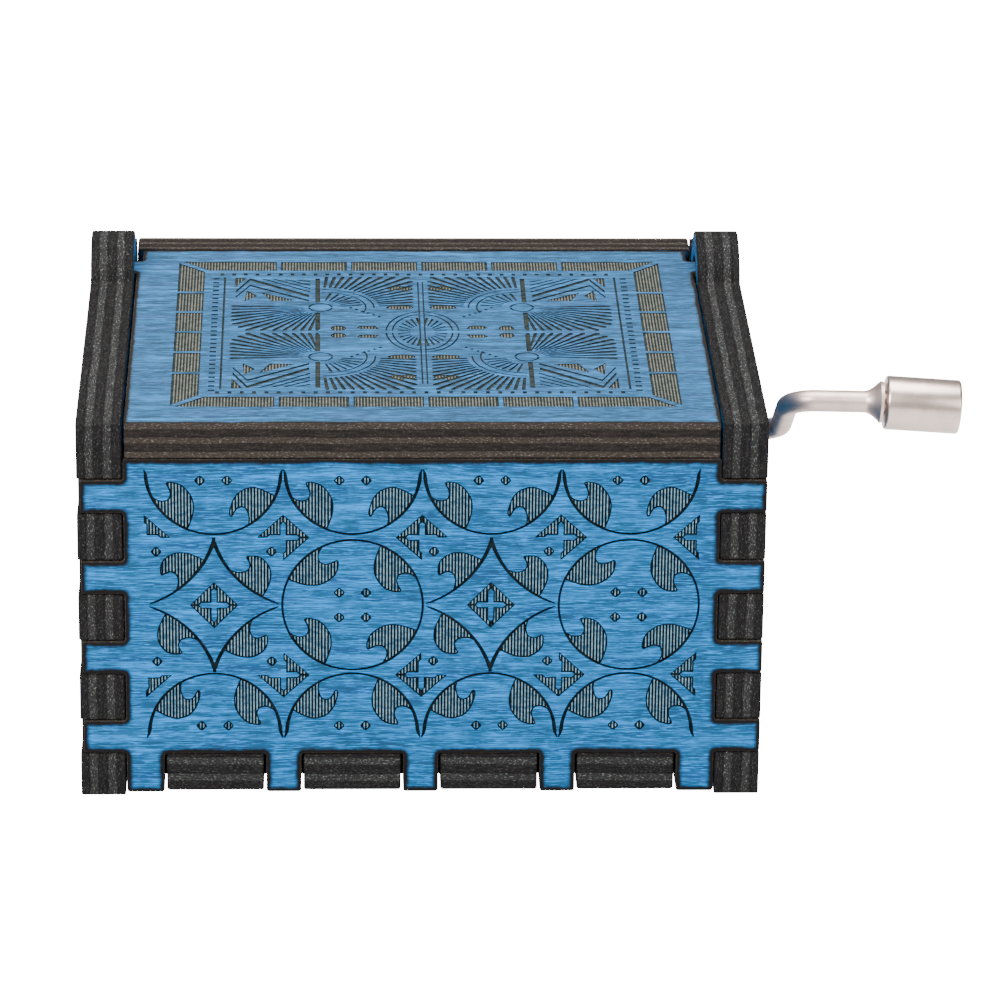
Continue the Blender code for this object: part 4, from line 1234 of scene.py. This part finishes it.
    def build(self) -> None:
        """Builds the panel and stands it in place of its node."""
        stand = self.facing.matrix(self.node)
        low, high = (Vector(corner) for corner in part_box(self.node))
        out = Vector(stand.col[2][:3])
        thickness = abs((high - low).dot(out))
        sharp = face_outlines(self.node, stand)
        if self.shrink:
            sharp = [offset_loop(loop, self.shrink) for loop in sharp]
        if self.body == "lid":
            sharp = [self.straightened(loop) for loop in sharp]
        if self.facing is UNDER:
            stand, thickness = stand @ Matrix.Translation((0, 0, -self.sunk_to)), thickness - self.sunk_to
        elif self.sunk_to:
            first = min(p.x for p in sharp[0]) + self.end_step
            sharp = [[Vector((max(p.x, first), max(p.y, self.sunk_to))) for p in loop] for loop in sharp]
        insets, rim_loops = self.walls(sharp, 0.0, -thickness)
        self.surface(insets, rim_loops)
        self.inner_side(insets, rim_loops, -thickness)
        mesh = bpy.data.meshes.new(self.node + "_board")
        mesh.from_pydata(self.verts, [], self.faces)
        mesh.update()
        for polygon, kind in zip(mesh.polygons, self.kinds):
            polygon.material_index = kind
        rim = mesh.attributes.new("rim", "FLOAT", "POINT")
        rim.data.foreach_set("value", self.rims)
        show(self.node + "_board", mesh, self.materials, self.body, [self.node], stand)


@dataclass
class Case:
    """The six plywood boards."""

    finishes: Finishes
    finger_step: float = 0.36 * MM
    base_step: float = 0.5 * MM
    end_step: float = 0.3 * MM

    def build(self) -> None:
        """Builds the boards."""
        f = self.finishes
        carved = (f.edge, f.groove, f.ridge, f.dyed)
        thick = (f.thick_edge, f.groove, f.ridge, f.dyed)
        long_side = Scrollwork(("star", "ring", "star", "ring")).draw()
        short_side = Scrollwork(("star", "ring", "star")).draw()
        CutPanel("front_panel", FRONT, long_side, (f.dyed, *carved), sunk_to=self.finger_step,
                 end_step=self.end_step).build()
        CutPanel("back_panel", BACK, long_side, (f.dyed, *carved), sunk_to=self.finger_step).build()
        CutPanel("left_panel", LEFT, short_side, (f.dyed, *thick)).build()
        CutPanel("right_panel", RIGHT, short_side, (f.dyed, *thick)).build()
        CutPanel("lid", TOP, Fanwork().draw(), (f.dyed_lid, f.edge, f.lid_groove, f.lid_ridge, f.dyed_lid),
                 body="lid", groove_depth=0.12 * MM, ridge_depth=0.03 * MM).build()
        CutPanel("bottom_panel", UNDER, (), (f.bare, *thick[:3], f.bare), slot="plywood",
                 shrink=0.1 * MM, sunk_to=self.base_step).build()


# ---------------------------------------------------------------- turned and bent pieces

def lathe(profile: Sequence[Pair], sides: int = 96) -> bmesh.types.BMesh:
    """A solid of revolution about local X.

    Args:
        profile: (radius, place along the axis) pairs. One that starts and ends on the axis is solid, and
            any other closes on itself round a bore.
        sides: Segments of the turn.
    """
    bm = bmesh.new()
    rings = []
    for radius, along in profile:
        if radius == 0:
            rings.append([bm.verts.new((along, 0, 0))] * sides)
            continue
        rings.append([bm.verts.new((along, radius * math.cos(math.tau * i / sides),
                                    radius * math.sin(math.tau * i / sides))) for i in range(sides)])
    pairs = list(zip(rings, rings[1:]))
    if profile[0][0] > 0:
        pairs.append((rings[-1], rings[0]))
    for first, second in pairs:
        for i in range(sides):
            j = (i + 1) % sides
            corners = list(dict.fromkeys((first[i], first[j], second[j], second[i])))
            if len(corners) > 2:
                bm.faces.new(corners)
    bmesh.ops.recalc_face_normals(bm, faces=bm.faces)
    return bm


def to_mesh(bm: bmesh.types.BMesh, name: str) -> bpy.types.Mesh:
    """Turns a bmesh into a mesh."""
    mesh = bpy.data.meshes.new(name)
    bm.to_mesh(mesh)
    bm.free()
    return mesh


def along_axis(origin: Vector, axis: Vector) -> Matrix:
    """A place whose local X runs along an axis."""
    return Matrix.Translation(origin) @ axis.to_track_quat("X", "Z").to_matrix().to_4x4()


def swept(path: Sequence[Vector], radii: Sequence[float], sides: int = 40) -> bmesh.types.BMesh:
    """A round bar along a path, with flat ends."""
    bm = bmesh.new()
    rings = []
    across = Vector((0, 0, 1))
    for i, (point, radius) in enumerate(zip(path, radii)):
        along = (path[min(i + 1, len(path) - 1)] - path[max(i - 1, 0)]).normalized()
        across = (across - along * across.dot(along)).normalized()
        beside = along.cross(across)
        rings.append([bm.verts.new(point + radius * (across * math.cos(math.tau * k / sides)
                                                     + beside * math.sin(math.tau * k / sides)))
                      for k in range(sides)])
    for first, second in zip(rings, rings[1:]):
        for i in range(sides):
            j = (i + 1) % sides
            bm.faces.new((first[i], first[j], second[j], second[i]))
    bm.faces.new(rings[0])
    bm.faces.new(rings[-1])
    bmesh.ops.recalc_face_normals(bm, faces=bm.faces)
    return bm


def bent(start: Vector, corner: Vector, end: Vector, radius: float, steps: int = 14) -> list[Vector]:
    """Points of the arc that rounds a corner between two straight stretches."""
    inward, outward = (start - corner).normalized(), (end - corner).normalized()
    half = inward.angle(outward) / 2
    centre = corner + (inward + outward).normalized() * radius / math.sin(half)
    first = corner + inward * radius / math.tan(half) - centre
    last = corner + outward * radius / math.tan(half) - centre
    normal = first.cross(last).normalized()
    turn = first.angle(last) / steps
    return [centre + Matrix.Rotation(turn * i, 3, normal) @ first for i in range(steps + 1)]


@dataclass
class Crank:
    """The bent rod and the knob that turns on its end."""

    finishes: Finishes
    wire: float = 1.06 * MM
    standoff: float = 4.1 * MM
    forward: float = 10 * MM
    rise: float = 6.95 * MM
    bend: float = 2.6 * MM
    rod: float = 8.8 * MM
    rod_droop: float = math.radians(1.2)
    knob_droop: float = math.radians(4.0)
    flare: float = 1.5 * MM
    flare_radius: float = 2.03 * MM
    knob_radius: float = 2.63 * MM
    knob_length: float = 7.3 * MM
    knob_gap: float = 0.25 * MM
    edge: float = 0.3 * MM
    wall: float = 1.1 * MM
    spindle: float = 1.0 * MM

    def build(self) -> None:
        """Builds both pieces."""
        shaft = Vector(next(j["pos_m"] for j in frame["joints"] if j["name"] == "crank_spin"))
        case_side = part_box("right_panel")[1][0]
        start = Vector((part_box("crank_handle")[0][0], shaft.y, shaft.z))
        low = Vector((case_side + self.standoff, shaft.y, shaft.z))
        high = low + Vector((0, -self.forward, self.rise))
        along = Vector((math.cos(self.rod_droop), 0, -math.sin(self.rod_droop)))
        turned = Vector((math.cos(self.knob_droop), 0, -math.sin(self.knob_droop)))
        end = high + along * self.rod
        path = [start, *bent(start, low, high, self.bend), *bent(low, high, end, self.bend)]
        radii = [self.wire] * len(path)
        for i in range(9):
            share = i / 8
            path.append(end - along * self.flare * (1 - share))
            radii.append(self.wire + (self.flare_radius - self.wire) * share ** 1.7)
        shoulder = end + turned * self.knob_gap
        reach = self.knob_length - self.wall - 2 * self.knob_gap
        path += [shoulder, shoulder + turned * 0.01 * MM, shoulder + turned * reach]
        radii += [self.flare_radius, self.spindle, self.spindle]
        rod = to_mesh(swept(path, radii), "crank_rod")
        show("crank_rod", rod, [self.finishes.rod], "crank", ["crank_handle"])
        r, c, n = self.knob_radius, self.edge, self.knob_length
        bore = self.spindle + 0.1 * MM
        lead = 0.12 * MM
        profile = [(0, n - self.wall), (bore, n - self.wall), (bore, lead), (bore + lead, 0), (r - c, 0)]
        profile += [(r - 0.4 * c, 0.12 * c), (r - 0.12 * c, 0.4 * c), (r, c), (r, n - c)]
        profile += [(r - 0.12 * c, n - 0.4 * c), (r - 0.4 * c, n - 0.12 * c), (r - c, n), (0, n)]
        knob = to_mesh(lathe(profile), "crank_grip")
        place = along_axis(shoulder + turned * self.knob_gap, turned)
        show("crank_grip", knob, [self.finishes.nickel], "knob", ["crank_knob"], place)


@dataclass
class Movement:
    """The comb movement under the lid."""

    finishes: Finishes
    notes: int = 18
    pins_round: int = 14
    pin_radius: float = 0.17 * MM
    pin_height: float = 0.5 * MM
    pin_margin: float = 0.5 * MM
    pin_sway: float = 0.035
    drum_radius: float = 6.2 * MM
    drum_wall: float = 0.6 * MM
    break_edge: float = 0.12 * MM
    shank: float = 0.8 * MM

    def refined(self, node: str, material: Material, body: str,
                break_edge: float | None = None) -> None:
        """A piece with the node's own shape and broken edges.

        Args:
            node: The node whose flat faces are taken.
            material: Its finish.
            body: The body that it rides on.
            break_edge: Width of the broken edges, or None for the usual one. 0 leaves them sharp.
        """
        width = self.break_edge if break_edge is None else break_edge
        bm = bmesh.new()
        bm.from_mesh(frame["nodes"][node].data)
        bmesh.ops.remove_doubles(bm, verts=bm.verts, dist=0.001 * MM)
        bmesh.ops.dissolve_limit(bm, angle_limit=math.radians(1), verts=bm.verts, edges=bm.edges)
        if width:
            sharp = [e for e in bm.edges if len(e.link_faces) == 2 and e.calc_face_angle(0) > math.radians(50)]
            bmesh.ops.bevel(bm, geom=sharp, offset=width, segments=2, affect="EDGES", clamp_overlap=True,
                            profile=0.5)
        show(node + "_part", to_mesh(bm, node + "_part"), [material], body, [node])

    def drum(self) -> None:
        """The drum with its rows of pins."""
        low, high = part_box("cylinder_drum")
        half = (high[1] - low[1]) / 2
        r, inner, c = self.drum_radius, self.drum_radius - self.drum_wall, 0.08 * MM
        profile = [(inner, -half), (r - c, -half), (r, -half + c), (r, half - c), (r - c, half), (inner, half)]
        bm = lathe(profile, 96)
        pitch = (2 * half - 2 * self.pin_margin) / self.notes
        golden = (math.sqrt(5) - 1) / 2
        for note in range(self.notes):
            for k in range(self.pins_round):
                rests = (note * 5 + k * 3) % 7 < 2
                if rests:
                    continue
                sway = self.pin_sway * math.sin(2.4 * note + 1.7 * k)
                turn = (note * golden + k / self.pins_round + sway) % 1
                along, root = -half + self.pin_margin + pitch * (note + 0.5), 0.05 * MM
                foot = Vector((along, 0, r + self.pin_height / 2 - root))
                pin = Matrix.Rotation(turn * math.tau, 4, "X") @ Matrix.Translation(foot)
                bmesh.ops.create_cone(bm, cap_ends=True, segments=8, matrix=pin, radius1=self.pin_radius,
                                      radius2=0.8 * self.pin_radius, depth=self.pin_height + 2 * root)
        place = along_axis(middle_of("cylinder_drum"), Vector((0, 1, 0)))
        centre = middle_of("cylinder_arbor")
        place.translation = Vector((centre.x, middle_of("cylinder_drum").y, centre.z))
        show("pinned_drum", to_mesh(bm, "pinned_drum"), [self.finishes.brass], "cylinder",
             ["cylinder_drum"], place)

    def slotted(self, mesh: bpy.types.Mesh, head: float, height: float) -> bpy.types.Mesh:
        """A screw's mesh with a slot cut across the top of its head."""
        bar = bmesh.new()
        bmesh.ops.create_cube(bar, size=1, matrix=Matrix.Diagonal((0.7 * height, 0.36 * head, 2.6 * head, 1)))
        blank, cutter = placed("blank", mesh), placed("slot", to_mesh(bar, "slot"))
        cut = blank.modifiers.new("slot", "BOOLEAN")
        cut.operation, cut.object, cut.solver = "DIFFERENCE", cutter, "EXACT"
        bpy.context.view_layer.update()
        result = bpy.data.meshes.new_from_object(blank.evaluated_get(bpy.context.evaluated_depsgraph_get()))
        for helper in (blank, cutter):
            bpy.data.objects.remove(helper, do_unlink=True)
        return result

    def screw(self, node: str, axis: Vector, head: float, height: float, cone: bool = False,
              sunk: float = 0.0) -> None:
        """A slotted screw in place of its node.

        Args:
            node: The screw's node.
            axis: The way its head faces.
            head: Radius of the head.
            height: Height of the head.
            cone: Makes the head a countersunk one.
            sunk: How far the head's top lies inside the node's box.
        """
        low, high = (Vector(corner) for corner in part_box(node))
        centre, shank = (low + high) / 2, self.shank
        top = max(low.dot(axis), high.dot(axis)) - sunk
        length = abs((high - low).dot(axis)) - sunk
        edge = 0.16 * height
        if cone:
            profile = [(0, 0), (head - 0.05 * MM, 0), (head, -0.05 * MM), (shank, -height)]
        else:
            profile = [(0, 0), (head - edge, 0), (head - 0.3 * edge, -0.3 * edge), (head, -edge),
                       (head, -height), (shank, -height)]
        mesh = to_mesh(lathe([*profile, (shank, -length), (0, -length)], 40), node + "_part")
        place = along_axis(centre + axis * (top - centre.dot(axis)), axis)
        mesh = self.slotted(mesh, head, height)
        show(node + "_part", mesh, [self.finishes.steel], "case", [node], place)

    def build(self) -> None:
        """Builds the movement."""
        f = self.finishes
        self.drum()
        for node in ("comb_block", "bedplate", "shaft_bracket_left", "shaft_bracket_right", "arbor_post_front",
                     "arbor_post_rear"):
            self.refined(node, f.brass, "case")
        for node, material, body, slot, width in (
                ("comb", f.steel, "case", "steel", 0.04),
                *((f"comb_weight_{i}", f.lead, "case", "lead", 0.06) for i in range(1, 6)),
                ("worm_wheel", f.nylon, "cylinder", "nylon", 0.04), ("worm", f.brass, "crank", "brass", 0.0),
                ("worm_shaft", f.steel, "crank", "steel", 0.08),
                ("shaft_clip", f.steel, "crank", "steel", 0.05),
                ("cylinder_arbor", f.steel, "cylinder", "steel", 0.08),
                ("cylinder_cap_front", f.brass, "cylinder", "brass", 0.06),
                ("cylinder_cap_rear", f.brass, "cylinder", "brass", 0.06)):
            self.refined(node, material, body, width * MM)
        up = Vector((0, 0, 1))
        for node in ("comb_screw_1", "comb_screw_2", "shaft_bracket_left_screw", "shaft_bracket_right_screw",
                     "arbor_post_front_screw", "arbor_post_rear_screw"):
            self.screw(node, up, 1.5 * MM, 0.9 * MM)
        for i in range(1, 4):
            self.screw(f"base_screw_{i}", -up, 2.0 * MM, 1.2 * MM, True, Case.base_step + 0.05 * MM)


# ---------------------------------------------------------------- studio

@dataclass
class Studio:
    """A pale floor, soft lights and the camera."""

    floor_size: float = 6.0
    focal: float = 200.1
    yaw: float = math.radians(2.03)
    pitch: float = math.radians(21.83)
    roll: float = math.radians(0.71)
    reach: tuple[float, float, float] = (-0.00753, 0.027897, 0.526)
    front_edge: float = -0.026
    aim: Vector = field(default_factory=lambda: Vector((0, 0, 0.02)))
    room: float = 0.4
    floor_glow: float = 17.0
    floor_gleam: float = 1.0
    lights: Sequence[tuple[str, tuple[float, float, float], float, float]] = (
        ("key", (-0.5, -0.75, 0.75), 0.5, 24.5),
        ("fill", (0.7, -0.8, 0.6), 0.6, 7.5),
        ("top", (0.05, 0.1, 1.0), 0.8, 21.0))

    def camera(self) -> None:
        """Places the camera."""
        cos, sin = math.cos(self.pitch), math.sin(self.pitch)
        tilt = Matrix(((1, 0, 0), (0, -sin, -cos), (0, cos, -sin)))
        turn = Matrix.Rotation(self.roll, 3, "Z") @ tilt @ Matrix.Rotation(self.yaw, 3, "Z")
        place = turn.transposed() @ -Vector(self.reach) + Vector((0, self.front_edge, 0))
        data = bpy.data.cameras.new("camera")
        data.lens = self.focal
        data.sensor_width = 36
        data.clip_start = 0.01
        basis = Matrix((turn[0], -turn[1], -turn[2])).transposed()
        bpy.context.scene.camera = placed("camera", data, Matrix.LocRotScale(place, basis, None))

    def floor(self) -> None:
        """The floor under the case."""
        mesh = bpy.data.meshes.new("floor")
        half = self.floor_size / 2
        corners = [(-half, -half, 0), (half, -half, 0), (half, half, 0), (-half, half, 0)]
        mesh.from_pydata(corners, [], [(0, 1, 2, 3)])
        material, graph, shader = start_material("floor_white")
        shader.inputs["Base Color"].default_value = (0.55, 0.55, 0.55, 1)
        shader.inputs["Roughness"].default_value = 0.9
        shader.inputs["Specular IOR Level"].default_value = 0.0
        shader.inputs["Emission Color"].default_value = (1, 1, 1, 1)
        rays = graph.put("ShaderNodeLightPath").outputs
        glow = graph.plus(graph.times(rays["Is Camera Ray"], self.floor_glow),
                          graph.times(rays["Is Glossy Ray"], self.floor_gleam))
        graph.feed(shader.inputs["Emission Strength"], glow)
        mesh.materials.append(material)
        placed("floor", mesh, Matrix.Translation((0, 0, -0.02 * MM)))

    def light(self) -> None:
        """The soft boxes and the bright room."""
        world = bpy.data.worlds.new("room")
        world.use_nodes = True
        background = world.node_tree.nodes["Background"]
        background.inputs["Color"].default_value = (1, 1, 1, 1)
        background.inputs["Strength"].default_value = self.room
        bpy.context.scene.world = world
        for name, place, size, power in self.lights:
            data = bpy.data.lights.new(name, "AREA")
            data.shape = "DISK"
            data.size = size
            data.energy = power
            aim = self.aim - Vector(place)
            placed(name, data, Matrix.LocRotScale(Vector(place), aim.to_track_quat("-Z", "Y"), None))

    def build(self) -> None:
        """Builds the studio."""
        self.camera()
        self.floor()
        self.light()


def main() -> None:
    """Builds the studio and each sub-assembly in turn."""
    logging.basicConfig(level=logging.INFO, format="%(message)s")
    Studio().build()
    Case(FINISHES).build()
    Crank(FINISHES).build()
    Movement(FINISHES).build()


if __name__ == "__main__":
    main()
